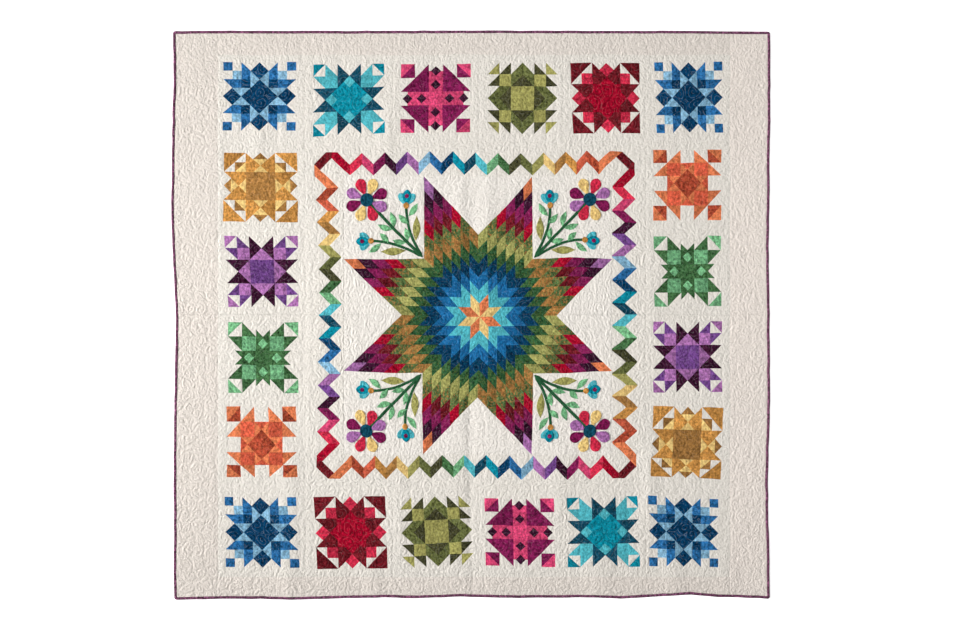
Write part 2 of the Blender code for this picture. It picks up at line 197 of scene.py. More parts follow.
@dataclass(frozen=True)
class SewnPlan:
    """Where the seams really lie, in metres, from the sewn plan in inches.

    Args:
        columns, rows: Plan inches, and where those seams lie.
        star: Shares of the star's half width, and where they lie across and
            up.
        zigzag_x, zigzag_y: Half periods to the right and downwards, and where
            they lie.
        sway_top, sway_bottom, sway_left, sway_right: How each ribbon wanders:
            half periods along it, then to the right and downwards.
        side_edges: Height up the face, and both side edges there.
        end_edges: Place across the face, and the lower and upper edge there.
        star_sway_right, star_sway_up: Inches above the star's centre, then
            inches beside the plan at five places across.
        core_half, star_half, medallion_half: Halves of the field of blocks,
            of the star's square and of the field inside the blocks, in inches.
        wobble, wave_lengths, wave_starts: Height, length and start of the slow
            waves of upright and level seams.
        pull, pull_length: Height and length of the stitches' uneven pulls.
        sway_blend: How far each ribbon's sway reaches past it.
        hold_reach, hold_slope: How fast the sway grows beside a held seam, and
            past its ends.
        middle: Middle of the blanket in the tables' metres.
    """

    columns: Table = (
        (-36.0, -0.901), (-24.0, -0.59), (-18.8, -0.453), (-12.0, -0.279), (0.0, 0.028), (12.0, 0.326),
        (18.8, 0.501), (24.0, 0.621), (36.0, 0.92),
    )
    rows: Table = (
        (-36.0, -0.936), (-24.0, -0.618), (-18.8, -0.5), (-12.0, -0.308), (0.0, -0.006), (12.0, 0.304),
        (18.8, 0.489), (24.0, 0.613), (36.0, 0.921),
    )
    star: Table = (
        (-1.0, -0.453, -0.5), (-0.414, -0.17, -0.204), (0.0, 0.03, -0.011), (0.414, 0.215, 0.194),
        (1.0, 0.501, 0.489),
    )
    zigzag_x: Table = (
        (0.0, -0.558), (2.0, -0.475), (4.0, -0.392), (6.0, -0.307), (8.0, -0.227), (12.0, -0.064),
        (16.0, 0.097), (20.0, 0.255), (24.0, 0.411), (26.0, 0.498), (28.0, 0.586),
    )
    zigzag_y: Table = ((0.0, 0.576), (2.0, 0.493), (26.0, -0.503), (28.0, -0.586))
    sway_top: Table = (
        (1.3, -0.05, 0.1), (3.9, 0.05, 0.1), (6.5, 0.0, 0.0), (9.1, -0.05, -0.1), (11.7, -0.05, -0.05),
        (14.4, -0.05, 0.1), (17.0, -0.05, 0.1), (19.7, 0.05, 0.05), (22.5, 0.05, -0.05),
        (25.1, -0.05, -0.15), (27.5, -0.15, -0.05),
    )
    sway_bottom: Table = (
        (1.3, 0.2, 0.05), (3.9, 0.25, 0.05), (6.5, 0.1, 0.05), (9.1, 0.05, 0.0), (11.7, 0.05, -0.05),
        (14.4, -0.1, -0.05), (17.0, 0.0, 0.1), (19.7, 0.2, 0.1), (22.5, 0.25, 0.15), (25.1, 0.35, 0.15),
        (27.5, 0.05, 0.0),
    )
    sway_left: Table = (
        (1.1, 0.0, 0.05), (3.7, 0.05, 0.15), (6.3, 0.25, 0.05), (8.8, 0.35, 0.05), (11.4, 0.35, 0.1),
        (14.0, 0.35, 0.05), (16.6, 0.35, 0.0), (19.1, 0.3, 0.05), (21.7, 0.2, 0.0), (24.3, 0.2, 0.0),
        (26.8, 0.2, 0.05),
    )
    sway_right: Table = (
        (1.1, -0.1, 0.0), (3.7, -0.05, 0.05), (6.3, 0.1, 0.05), (8.8, 0.05, -0.05), (11.4, 0.1, 0.0),
        (14.0, 0.1, -0.05), (16.6, 0.15, -0.05), (19.1, 0.2, 0.05), (21.7, 0.15, -0.1), (24.3, 0.1, -0.1),
        (26.8, 0.05, -0.05),
    )
    side_edges: Table = (
        (-1.01, -1.056, 1.063), (-0.88, -1.058, 1.061), (-0.73, -1.059, 1.056), (-0.59, -1.058, 1.056),
        (-0.45, -1.058, 1.059), (-0.31, -1.057, 1.062), (-0.16, -1.052, 1.063), (-0.02, -1.051, 1.061),
        (0.12, -1.058, 1.059), (0.26, -1.063, 1.059), (0.4, -1.068, 1.06), (0.55, -1.065, 1.06),
        (0.69, -1.062, 1.065), (0.83, -1.06, 1.063), (1.01, -1.062, 1.063),
    )
    end_edges: Table = (
        (-1.06, -1.019, 1.005), (-0.89, -1.014, 1.006), (-0.75, -1.013, 1.008), (-0.61, -1.017, 1.007),
        (-0.47, -1.013, 1.005), (-0.32, -1.008, 1.008), (-0.18, -1.011, 1.008), (-0.04, -1.007, 1.007),
        (0.1, -1.01, 1.008), (0.24, -1.009, 1.008), (0.39, -1.01, 1.006), (0.53, -1.013, 1.006),
        (0.67, -1.004, 1.008), (0.78, -0.999, 1.007), (0.88, -1.008, 1.004), (1.06, -1.013, 1.004),
    )
    star_sway_right: Table = (
        (12.9, 0.05, 0.15, -0.15, 0.15, 0.1), (6.4, 0.0, 0.15, -0.2, 0.15, 0.15),
        (0.0, 0.1, 0.3, -0.05, 0.25, 0.1), (-6.4, 0.15, -0.1, -0.1, 0.15, 0.4),
        (-12.9, -0.2, -0.25, -0.4, 0.05, 0.2),
    )
    star_sway_up: Table = (
        (12.9, -0.05, -0.2, 0.05, -0.3, 0.05), (6.4, 0.05, 0.2, -0.2, 0.1, 0.3),
        (0.0, 0.35, 0.1, -0.05, 0.15, 0.2), (-6.4, -0.2, -0.25, -0.3, -0.25, -0.25),
        (-12.9, -0.15, -0.1, -0.25, -0.35, -0.25),
    )
    core_half: float = 36.0
    star_half: float = 18.8
    medallion_half: float = 24.0
    wobble: float = 0.0010
    wave_lengths: Two = (0.41, 0.47)
    wave_starts: Two = (0.6, 1.9)
    pull: float = 0.0009
    pull_length: float = 0.034
    sway_blend: float = 0.5
    hold_reach: float = 0.6
    hold_slope: float = 2.0
    middle: Two = (-0.0012, -0.0028)

    @property
    def star_edge(self) -> float:
        """Length in inches of a star point's side."""
        return self.star_half / (1.0 + HALF_ROOT)

    @staticmethod
    def read(table: Table, values: Array | float, index: int = 1) -> Array:
        """Interpolate one column of a table at values of its rising first column."""
        data = np.asarray(table)
        return np.interp(values, data[:, 0], data[:, index])

    def settle(self, x: Array, y: Array) -> Pair:
        """Centre the blanket and add the unevenness that all seams share.

        Args:
            x, y: Metres to the right and up the face.

        Returns:
            x plus a sine of y, and y plus a sine of x, less the middle, both
            with the small pull of the stitches.
        """
        (length_x, length_y), (start_x, start_y) = self.wave_lengths, self.wave_starts
        wave_x = self.wobble * np.sin(2.0 * math.pi * y / length_x + start_x)
        wave_y = self.wobble * np.sin(2.0 * math.pi * x / length_y + start_y)
        lean_x = wave_x + self.pull * drift(x, y, self.pull_length, Seed.PULL_X)
        lean_y = wave_y + self.pull * drift(x, y, self.pull_length, Seed.PULL_Y)
        return x - self.middle[0] + lean_x, y - self.middle[1] + lean_y

    def unit(self, u: Array, v: Array) -> Pair:
        """Place plan inches outside the medallion, in metres."""
        return self.settle(self.read(self.columns, u), self.read(self.rows, v))

    def star_sway(self, table: Table, u: Array, v: Array) -> Array:
        """Read how far the star's seams lie beside the plan.

        Args:
            table: Rows from the top down: v, then inches at five values of u.
            u, v: Inches to the right of the star's centre and above it.

        Returns:
            Inches, straight-lined between the table's places and falling to 0
            on the square's edge.
        """
        data = np.asarray(table)[::-1]
        places = np.concatenate(([-self.star_half], data[:, 0], [self.star_half]))
        grid = np.pad(data[:, 1:], 1)
        spot_u = np.interp(u, places, np.arange(len(places)))
        spot_v = np.interp(v, places, np.arange(len(places)))
        i = np.clip(np.floor(spot_u), 0, len(places) - 2).astype(int)
        j = np.clip(np.floor(spot_v), 0, len(places) - 2).astype(int)
        fu, fv = spot_u - i, spot_v - j
        low = grid[j, i] * (1.0 - fu) + grid[j, i + 1] * fu
        high = grid[j + 1, i] * (1.0 - fu) + grid[j + 1, i + 1] * fu
        return low * (1.0 - fv) + high * fv

    def star_place(self, u: Array, v: Array) -> Pair:
        """Place plan inches inside the star's square.

        Args:
            u, v: Inches to the right of the star's centre and above it.

        Returns:
            x and y in metres.
        """
        right = self.star_sway(self.star_sway_right, u, v)
        up = self.star_sway(self.star_sway_up, u, v)
        x = self.read(self.star, (u + right) / self.star_half, 1)
        y = self.read(self.star, (v + up) / self.star_half, 2)
        return self.settle(x, y)

    def star_line(self) -> tuple[float, float, float, float]:
        """Find the lattice places of the star square's four seams.

        Returns:
            Left, right, top and bottom, in half periods.
        """
        half = self.star_half
        seam_x = self.read(self.columns, np.array([-half, half]))
        seam_y = self.read(self.rows, np.array([half, -half]))
        grid_x, grid_y = np.asarray(self.zigzag_x), np.asarray(self.zigzag_y)
        left, right = np.interp(seam_x, grid_x[:, 1], grid_x[:, 0])
        top, bottom = np.interp(-seam_y, -grid_y[:, 1], grid_y[:, 0])
        return float(left), float(right), float(top), float(bottom)

    def off(self, value: Array, low: float, high: float) -> Array:
        """Rise from 0 on either of two lines to 1 off both."""
        return np.clip(np.minimum(np.abs(value - low), np.abs(high - value)) / self.hold_reach, 0.0, 1.0)

    def within(self, value: Array, low: float, high: float) -> Array:
        """Stay at 1 between two lines and fall to 0 outside them."""
        return np.clip(1.0 + self.hold_slope * np.minimum(value - low, high - value), 0.0, 1.0)

    def sway(self, across: Array, down: Array) -> Pair:
        """Let the zigzag wander between its two seams.

        Args:
            across, down: Half periods to the right and downwards.

        Returns:
            The places moved by a mean of the four sides' tables, weighted by
            nearness to each side, and held still on the seams.
        """
        left, right, top, bottom = self.star_line()
        sides = (
            (self.sway_top, across, down - 1.0),
            (self.sway_bottom, across, RING - 1.0 - down),
            (self.sway_left, down, across - 1.0),
            (self.sway_right, down, RING - 1.0 - across),
        )
        total = np.zeros(across.shape)
        move_a, move_d = np.zeros(across.shape), np.zeros(across.shape)
        for table, along, apart in sides:
            weight = 1.0 / (apart**4 + self.sway_blend)
            total += weight
            move_a += weight * self.read(table, along, 1)
            move_d += weight * self.read(table, along, 2)
        beside_a = 1.0 - self.off(across, left, right)
        beside_d = 1.0 - self.off(down, top, bottom)
        hold_a = self.off(across, -EDGE, RING + EDGE) * (1.0 - self.within(down, top, bottom) * beside_a)
        hold_d = self.off(down, -EDGE, RING + EDGE) * (1.0 - self.within(across, left, right) * beside_d)
        return across + hold_a * move_a / total, down + hold_d * move_d / total

    def ribbon_place(self, across: Array, down: Array) -> Pair:
        """Place the zigzag's lattice, counted from its top left corner.

        Args:
            across, down: Half periods to the right and downwards.

        Returns:
            x and y in metres, held inside the medallion's seams.
        """
        ends = np.array([-self.medallion_half, self.medallion_half])
        seam_x, seam_y = self.read(self.columns, ends), self.read(self.rows, ends)
        grid_x, grid_y = np.asarray(self.zigzag_x), np.asarray(self.zigzag_y)
        knots_x = np.concatenate(([-EDGE], grid_x[:, 0], [RING + EDGE]))
        lies_x = np.concatenate((seam_x[:1], grid_x[:, 1], seam_x[-1:]))
        knots_y = np.concatenate(([-EDGE], grid_y[:, 0], [RING + EDGE]))
        lies_y = np.concatenate((seam_y[-1:], grid_y[:, 1], seam_y[:1]))
        across, down = self.sway(across, down)
        return self.settle(np.interp(across, knots_x, lies_x), np.interp(down, knots_y, lies_y))


PLAN = SewnPlan()


def hashed(column: Array, row: Array, seed: int) -> Array:
    """Give each whole-number pair its own fixed value from 0 to 1.

    Args:
        column, row: Whole numbers.
        seed: Chooses another set of values.

    Returns:
        A mixing of the two numbers' bits, scaled to 0 to 1.
    """
    mask = np.int64(0xFFFFFFFF)
    n = (column.astype(np.int64) * 374761393 + row.astype(np.int64) * 668265263 + seed * 974711) & mask
    n = ((n ^ (n >> 13)) * 1274126177) & mask
    return ((n ^ (n >> 16)) & 0xFFFF) / 65535.0


def drift(x: Array, y: Array, cell: float, seed: int) -> Array:
    """Smooth uneven field from -1 to 1.

    Args:
        x, y: Metres.
        cell: Size of its hills in metres.
        seed: Chooses another field.

    Returns:
        Values at the corners of square cells, blended with a smooth step.
    """
    gx, gy = x / cell, y / cell
    ix, iy = np.floor(gx), np.floor(gy)
    fx, fy = gx - ix, gy - iy
    sx, sy = fx * fx * (3.0 - 2.0 * fx), fy * fy * (3.0 - 2.0 * fy)
    low = hashed(ix, iy, seed) * (1.0 - sx) + hashed(ix + 1, iy, seed) * sx
    high = hashed(ix, iy + 1, seed) * (1.0 - sx) + hashed(ix + 1, iy + 1, seed) * sx
    return 2.0 * (low * (1.0 - sy) + high * sy) - 1.0


@dataclass(frozen=True)
class QuiltedSurface:
    """Height of the face and the line of the quilting thread.

    Args:
        seam_height, lowest: Height of a seam and least height, in metres.
        crown, loft: Rise of a patch, and of the wadding between the lines.
        curl, jitter: Distance between the quilted curls' middles, and how far
            these stray, as a share of it.
        spacing, line_width: Distance between neighbouring quilting lines, and
            half width of their grooves.
        warps: How the lines wander: reach, and length of the bends.
        pucker, seam_pucker: Height of the fine puckers, and the share of it
            that is left on a seam.
        swell: Height of the slow waves.
        pucker_layers, swell_layers: Fields that make them: share, squeeze
            across and up, size of the hills.
        fullness_x, fullness_y: Share of the loft across and up the face.
        fold_sway, fold_turns, fold_shift: How folds bend: reach, radians a
            metre, and how neighbours differ.
        fold_fade, fade_slope: Length and steepness of the folds' ends.
        folds: Soft folds: x, half width, low y, high y, rise.
        creases: Sharp creases, and ridges of depth below 0: x, width to the
            left, width to the right, low y, high y, depth.
    """

    seam_height: float = 0.0034
    crown: float = 0.0004
    loft: float = 0.0023
    lowest: float = 0.0012
    curl: float = 0.043
    jitter: float = 0.62
    spacing: float = 0.0112
    line_width: float = 0.0027
    warps: Table = ((0.009, 0.045), (0.003, 0.018))
    pucker: float = 0.00060
    seam_pucker: float = 0.4
    pucker_layers: Table = ((1.0, 1.0, 0.6, 0.0072), (0.8, 1.25, 0.8, 0.0085))
    swell: float = 0.0008
    swell_layers: Table = ((1.0, 1.0, 1.0, 0.16), (0.9, 1.0, 0.45, 0.065))
    fullness_x: Table = ((-1.05, 1.15), (-0.6, 1.0), (0.6, 0.95), (1.05, 0.7))
    fullness_y: Table = ((-1.0, 1.15), (-0.5, 1.05), (0.5, 1.0), (1.0, 0.85))
    fold_sway: float = 0.006
    fold_turns: float = 9.0
    fold_shift: float = 40.0
    fold_fade: float = 0.06
    fade_slope: float = 4.0
    folds: Table = (
        (-0.755, 0.03, 0.5, 0.74, 0.003), (-0.645, 0.035, -1.2, -0.48, 0.0038),
        (-0.615, 0.04, -0.5, 0.5, -0.0018), (-0.35, 0.03, -1.2, -0.8, 0.0028),
        (-0.3, 0.03, 0.5, 0.76, 0.003), (-0.24, 0.035, -0.5, 0.5, -0.0018),
        (-0.045, 0.025, -0.1, 0.46, 0.004), (0.06, 0.03, -0.1, 0.5, 0.004),
        (0.315, 0.04, -0.72, -0.48, 0.0036), (0.46, 0.05, -1.2, -0.82, 0.0034),
        (0.63, 0.03, -0.72, -0.46, 0.0044), (0.715, 0.035, -1.2, -0.82, 0.003),
        (0.91, 0.035, -1.2, -0.82, 0.0028),
    )
    creases: Table = (
        (-0.25, 0.05, 0.02, -0.82, -0.56, -0.002), (-0.04, 0.1, 0.05, -0.86, -0.14, -0.0025),
        (-0.004, 0.016, 0.036, -0.86, -0.14, 0.0045), (0.007, 0.022, 0.032, -1.2, -0.86, 0.0028),
    )

    def fold_height(self, x: Array, y: Array) -> Array:
        """Height of the soft folds.

        Args:
            x, y: Metres to the right and up the face.

        Returns:
            Sum of bell-shaped ridges, less the creases, which fall off to both
            sides as an exponential. Both run up the face between two heights.
        """
        total = np.zeros_like(x)
        for middle, half, low, high, rise in self.folds:
            sway = self.fold_sway * np.sin(y * self.fold_turns + middle * self.fold_shift)
            across = np.exp(-(((x - middle - sway) / half) ** 2))
            total += rise * across * self.stretch(y, low, high)
        for middle, left, right, low, high, depth in self.creases:
            apart = x - middle
            across = np.exp(-np.abs(apart) / np.where(apart < 0.0, left, right))
            total -= depth * across * self.stretch(y, low, high)
        return total

    def stretch(self, y: Array, low: float, high: float) -> Array:
        """Find where a fold lies along its length.

        Args:
            y: Metres up the face.
            low, high: Where it starts and stops.

        Returns:
            1 between the two heights, falling to 0 past them as a smooth step.
        """
        start = 1.0 / (1.0 + np.exp(-(y - low) * self.fade_slope / self.fold_fade))
        stop = 1.0 / (1.0 + np.exp((y - high) * self.fade_slope / self.fold_fade))
        return start * stop

    def lines(self, x: Array, y: Array) -> Pair:
        """Find the quilting lines.

        Args:
            x, y: Metres to the right and up the face.

        Returns:
            Turns counted across the lines of a curl, and the distance in
            metres to the line round it. Curls are spirals round jittered cell
            middles, cut off half way to the next middle.
        """
        (far, wide), (near, narrow) = self.warps
        wx = x + far * drift(x, y, wide, Seed.WARP_X) + near * drift(x, y, narrow, Seed.FINE_WARP_X)
        wy = y + far * drift(x, y, wide, Seed.WARP_Y) + near * drift(x, y, narrow, Seed.FINE_WARP_Y)
        cx, cy = np.floor(wx / self.curl), np.floor(wy / self.curl)
        nearest, second = np.full(x.shape, np.inf), np.full(x.shape, np.inf)
        angle, spin, phase = np.zeros(x.shape), np.ones(x.shape), np.zeros(x.shape)
        for di, dj in product((-1, 0, 1), repeat=2):
            ix, iy = cx + di, cy + dj
            mx = (ix + 0.5 + self.jitter * (hashed(ix, iy, Seed.CURL_X) - 0.5)) * self.curl
            my = (iy + 0.5 + self.jitter * (hashed(ix, iy, Seed.CURL_Y) - 0.5)) * self.curl
            dx, dy = wx - mx, wy - my
            reach = np.hypot(dx, dy)
            closer = reach < nearest
            second = np.where(closer, nearest, np.minimum(second, reach))
            nearest = np.where(closer, reach, nearest)
            angle = np.where(closer, np.arctan2(dy, dx), angle)
            spin = np.where(closer, np.sign(hashed(ix, iy, Seed.CURL_SPIN) - 0.5), spin)
            phase = np.where(closer, hashed(ix, iy, Seed.CURL_PHASE), phase)
        turn = nearest / self.spacing + spin * angle / (2.0 * math.pi) + phase
        return turn, 0.5 * (second - nearest)

    @staticmethod
    def layered(x: Array, y: Array, layers: Table, seed: int) -> Array:
        """Add up a table of uneven fields.

        Args:
            x, y: Metres to the right and up the face.
            layers: Share, squeeze across, squeeze up and size of each field.
            seed: Chooses the first field.

        Returns:
            Sum of the fields' shares.
        """
        fields = [
            share * drift(x * across, y * up, cell, seed + place)
            for place, (share, across, up, cell) in enumerate(layers)
        ]
        return sum(fields)

    def height(self, x: Array, y: Array, seam: Array | float = 0.0) -> Pair:
        """Height of the face and the course of the thread.

        Args:
            x, y: Metres to the right and up the face.
            seam: 1 on a seam, falling to 0 beside it.

        Returns:
            Height in metres, and three numbers a point for the material: the
            cosine and sine of the turns across a curl's lines, and the
            distance to the line round it.
        """
        turn, rim = self.lines(x, y)
        part = turn - np.floor(turn)
        distance = np.minimum(np.minimum(part, 1.0 - part) * self.spacing, rim)
        puff = 1.0 - np.exp(-((distance / self.line_width) ** 2))
        puckers = self.layered(x, y, self.pucker_layers, Seed.PUCKER)
        waves = self.layered(x, y, self.swell_layers, Seed.SWELL)
        open_part = 1.0 - np.asarray(seam)
        height = self.seam_height + self.fold_height(x, y) + self.swell * waves
        fullness = PLAN.read(self.fullness_x, x) * PLAN.read(self.fullness_y, y)
        height = height + (self.crown + self.loft * fullness * puff) * open_part
        height = height + self.pucker * puckers * (self.seam_pucker + (1.0 - self.seam_pucker) * open_part)
        around = 2.0 * math.pi * turn
        thread = np.stack((np.cos(around), np.sin(around), rim), axis=1)
        return np.maximum(height, self.lowest), thread


SURFACE = QuiltedSurface()


@dataclass
class ClothMaterials:
    """Makes each cotton's material once.

    Args:
        cloud_scale: Dye clouds in a metre.
        fleck_scale: Dye flecks in a metre.
        thread_half, thread_fade, thread_gain: Half of the thread's width,
            half widths at which its colour has gone, and its strength.
        stitch_scale: Stretches of thread that show, in a metre.
        tone_share, tone_limit: Share of the mottling that sets patches apart,
            and the most that it does.
        crinkles: Crinkles in a metre, their stretch up the face, and height.
    """

    cloud_scale: float = 105.0
    fleck_scale: float = 150.0
    thread_half: float = 0.0005
    thread_fade: float = 2.4
    thread_gain: float = 1.5
    stitch_scale: float = 120.0
    tone_share: float = 0.4
    tone_limit: float = 0.20
    crinkles: Table = ((165.0, 1.30, 0.0056), (330.0, 1.0, 0.0020), (1300.0, 1.0, 0.00015))
    made: dict[int, bpy.types.Material] = field(default_factory=dict)

    @staticmethod
    def linear(colour: tuple[int, int, int]) -> tuple[float, float, float]:
        """Turn an 8-bit display colour into linear light.

        Args:
            colour: Red, green and blue, 0 to 255.

        Returns:
            Linear red, green and blue, 0 to 1, by the sRGB curve.
        """
        share = np.asarray(colour) / 255.0
        low, high = share / 12.92, ((share + 0.055) / 1.055) ** 2.4
        red, green, blue = np.where(share <= 0.04045, low, high)
        return float(red), float(green), float(blue)

    def get(self, number: int) -> bpy.types.Material:
        """Return the material of a cotton, made on first use."""
        if number not in self.made:
            self.made[number] = self.build(COTTONS[number])
        return self.made[number]

    @staticmethod
    def add(tree: Tree, kind: str, inputs: dict[str | int, Value], **options: str) -> bpy.types.Node:
        """Add a node.

        Args:
            tree: The material's nodes.
            kind: Type of node, without Blender's prefix.
            inputs: Value of each input, or the socket that gives it.
            options: Settings that choose which inputs the node has.

        Returns:
            The node.
        """
        node = tree.nodes.new(f"ShaderNode{kind}")
        for name, option in options.items():
            setattr(node, name, option)
        for name, value in inputs.items():
            if isinstance(value, bpy.types.NodeSocket):
                tree.links.new(value, node.inputs[name])
            else:
                node.inputs[name].default_value = value
        return node

    def noise(self, tree: Tree, scale: float, stretch: float, low: float, high: float) -> Socket:
        """Add a noise on object coordinates, spread from 0 to 1.

        Args:
            tree: The material's nodes.
            scale: Hills in a metre.
            stretch: How much longer the hills are up the face.
            low, high: Noise that becomes 0, and 1.

        Returns:
            The spread noise's socket.
        """
        where = self.add(tree, "TexCoord", {}).outputs["Object"]
        squeezed = self.add(tree, "Mapping", {"Scale": (1.0, 1.0 / stretch, 1.0), "Vector": where})
        shape = {"Scale": scale, "Detail": 3.0, "Roughness": 0.6, "Vector": squeezed.outputs["Vector"]}
        hills = self.add(tree, "TexNoise", shape).outputs["Fac"]
        spread = {"From Min": low, "From Max": high, "Value": hills}
        return self.add(tree, "MapRange", spread).outputs["Result"]

    def blend(self, tree: Tree, factor: Value, below: Value, above: Value) -> Socket:
        """Blend two colours.

        Args:
            tree: The material's nodes.
            factor: Share of the second colour.
            below, above: The two colours, or the sockets that give them.

        Returns:
            The blended colour's socket.
        """
        inputs = {"Factor": factor, "A": below, "B": above}
        for name, colour in inputs.items():
            if isinstance(colour, np.ndarray):
                inputs[name] = tuple(np.clip(colour, 0.0, 1.0)) + (1.0,)
        return self.add(tree, "Mix", inputs, data_type="RGBA").outputs["Result"]

    def reckon(self, tree: Tree, operation: str, *values: Value) -> Socket:
        """Add a sum on numbers, and return the socket of its result."""
        return self.add(tree, "Math", dict(enumerate(values)), operation=operation).outputs["Value"]

    def thread(self, tree: Tree, strength: float) -> Socket:
        """Show the quilting thread where the surface's lines run.

        Args:
            tree: The material's nodes.
            strength: How clearly it shows.

        Returns:
            Socket of the share of the thread's colour: the strength within
            half a thread of the nearest line, falling to 0 beside it.
        """
        course = self.add(tree, "Attribute", {}, attribute_name="quilting").outputs["Vector"]
        parts = self.add(tree, "SeparateXYZ", {"Vector": course}).outputs
        angle = self.reckon(tree, "ABSOLUTE", self.reckon(tree, "ARCTAN2", parts["Y"], parts["X"]))
        spiral = self.reckon(tree, "MULTIPLY", angle, SURFACE.spacing / (2.0 * math.pi))
        nearest = self.reckon(tree, "MINIMUM", spiral, parts["Z"])
        near, far = self.thread_half, self.thread_half * self.thread_fade
        fall = {"From Min": near, "From Max": far, "To Min": strength, "To Max": 0.0, "Value": nearest}
        return self.add(tree, "MapRange", fall).outputs["Result"]

    def build(self, cotton: Cotton) -> bpy.types.Material:
        """Build a hand-dyed cotton with clouds, flecks, crinkles and thread.

        Args:
            cotton: The cloth.

        Returns:
            A procedural material that reads object coordinates.
        """
        material = bpy.data.materials.new(cotton.name)
        material.use_nodes = True
        tree = material.node_tree
        shader = tree.nodes["Principled BSDF"]
        base = np.asarray(self.linear(cotton.colour))
        tint = tuple(base**0.5) + (1.0,)
        finish = {
            "Roughness": 0.9, "Sheen Weight": 0.05, "Sheen Roughness": 0.5, "Sheen Tint": tint,
            "Specular IOR Level": 0.08, "Specular Tint": tint,
        }
        for name, value in finish.items():
            shader.inputs[name].default_value = value

        clouds = self.noise(tree, self.cloud_scale, 1.0, 0.32, 0.68)
        dye = self.blend(tree, clouds, base * (1.0 - cotton.mottle), base * (1.0 + cotton.mottle))
        if cotton.flecks > 0.0:
            specks = self.noise(tree, self.fleck_scale, 1.2, 0.50, 0.62)
            share = self.reckon(tree, "MULTIPLY", specks, cotton.flecks)
            dye = self.blend(tree, share, dye, np.asarray(self.linear(cotton.fleck)))
        tone = self.add(tree, "Attribute", {}, attribute_name="tone").outputs["Fac"]
        swing = min(self.tone_limit, cotton.mottle * self.tone_share)
        strength = self.add(tree, "MapRange", {"To Min": 1.0 - swing, "To Max": 1.0 + swing, "Value": tone})
        toned = self.add(tree, "VectorMath", {0: dye, "Scale": strength.outputs["Result"]}, operation="SCALE")
        pale = np.minimum(base * 1.4 + 0.20, 0.85)
        shown = self.noise(tree, self.stitch_scale, 1.7, 0.38, 0.60)
        shown = self.reckon(tree, "MULTIPLY", shown, self.thread(tree, cotton.thread * self.thread_gain))
        tree.links.new(self.blend(tree, shown, toned.outputs["Vector"], pale), shader.inputs["Base Color"])

        bumps = {}
        for scale, stretch, distance in self.crinkles:
            bumps |= {"Distance": distance, "Height": self.noise(tree, scale, stretch, 0.0, 1.0)}
            bumps["Normal"] = self.add(tree, "Bump", bumps).outputs["Normal"]
        tree.links.new(bumps["Normal"], shader.inputs["Normal"])
        return material


MATERIALS = ClothMaterials()
NO_THREAD = np.array([-1.0, 0.0, 1.0])
EVEN_TONE = 0.5


def add_object(name: str, data: bpy.types.ID) -> Piece:
    """Put a mesh, light or camera into the scene.

    Args:
        name: Name of the object.
        data: The mesh, light or camera.

    Returns:
        The object.
    """
    thing = bpy.data.objects.new(name, data)
    bpy.context.scene.collection.objects.link(thing)
    return thing


def add_cottons(mesh: bpy.types.Mesh, cloth: Array) -> Array:
    """Give a mesh the cottons of its faces.

    Args:
        mesh: The mesh.
        cloth: Cotton number of each face.

    Returns:
        Material slot of each face.
    """
    used, slots = np.unique(cloth, return_inverse=True)
    for number in used:
        mesh.materials.append(MATERIALS.get(int(number)))
    return slots


def mark_cloth(mesh: bpy.types.Mesh, tone: Array, course: Array) -> None:
    """Store what the cloth's material reads.

    Args:
        mesh: The mesh.
        tone: Shade of each face, or of the first faces; the rest is even.
        course: The thread's course at each point, or at the first points.
    """
    even = np.full(len(mesh.polygons) - len(tone), EVEN_TONE)
    bare = np.tile(NO_THREAD, (len(mesh.vertices) - len(course), 1))
    shade = mesh.attributes.new("tone", "FLOAT", "FACE")
    shade.data.foreach_set("value", np.concatenate((tone, even)).astype(np.float32))
    line = mesh.attributes.new("quilting", "FLOAT_VECTOR", "POINT")
    line.data.foreach_set("vector", np.concatenate((course, bare)).astype(np.float32).ravel())


def mark_unquilted(mesh: bpy.types.Mesh) -> None:
    """Give a mesh an even tone and no quilting thread."""
    mark_cloth(mesh, np.empty(0), np.empty((0, 3)))


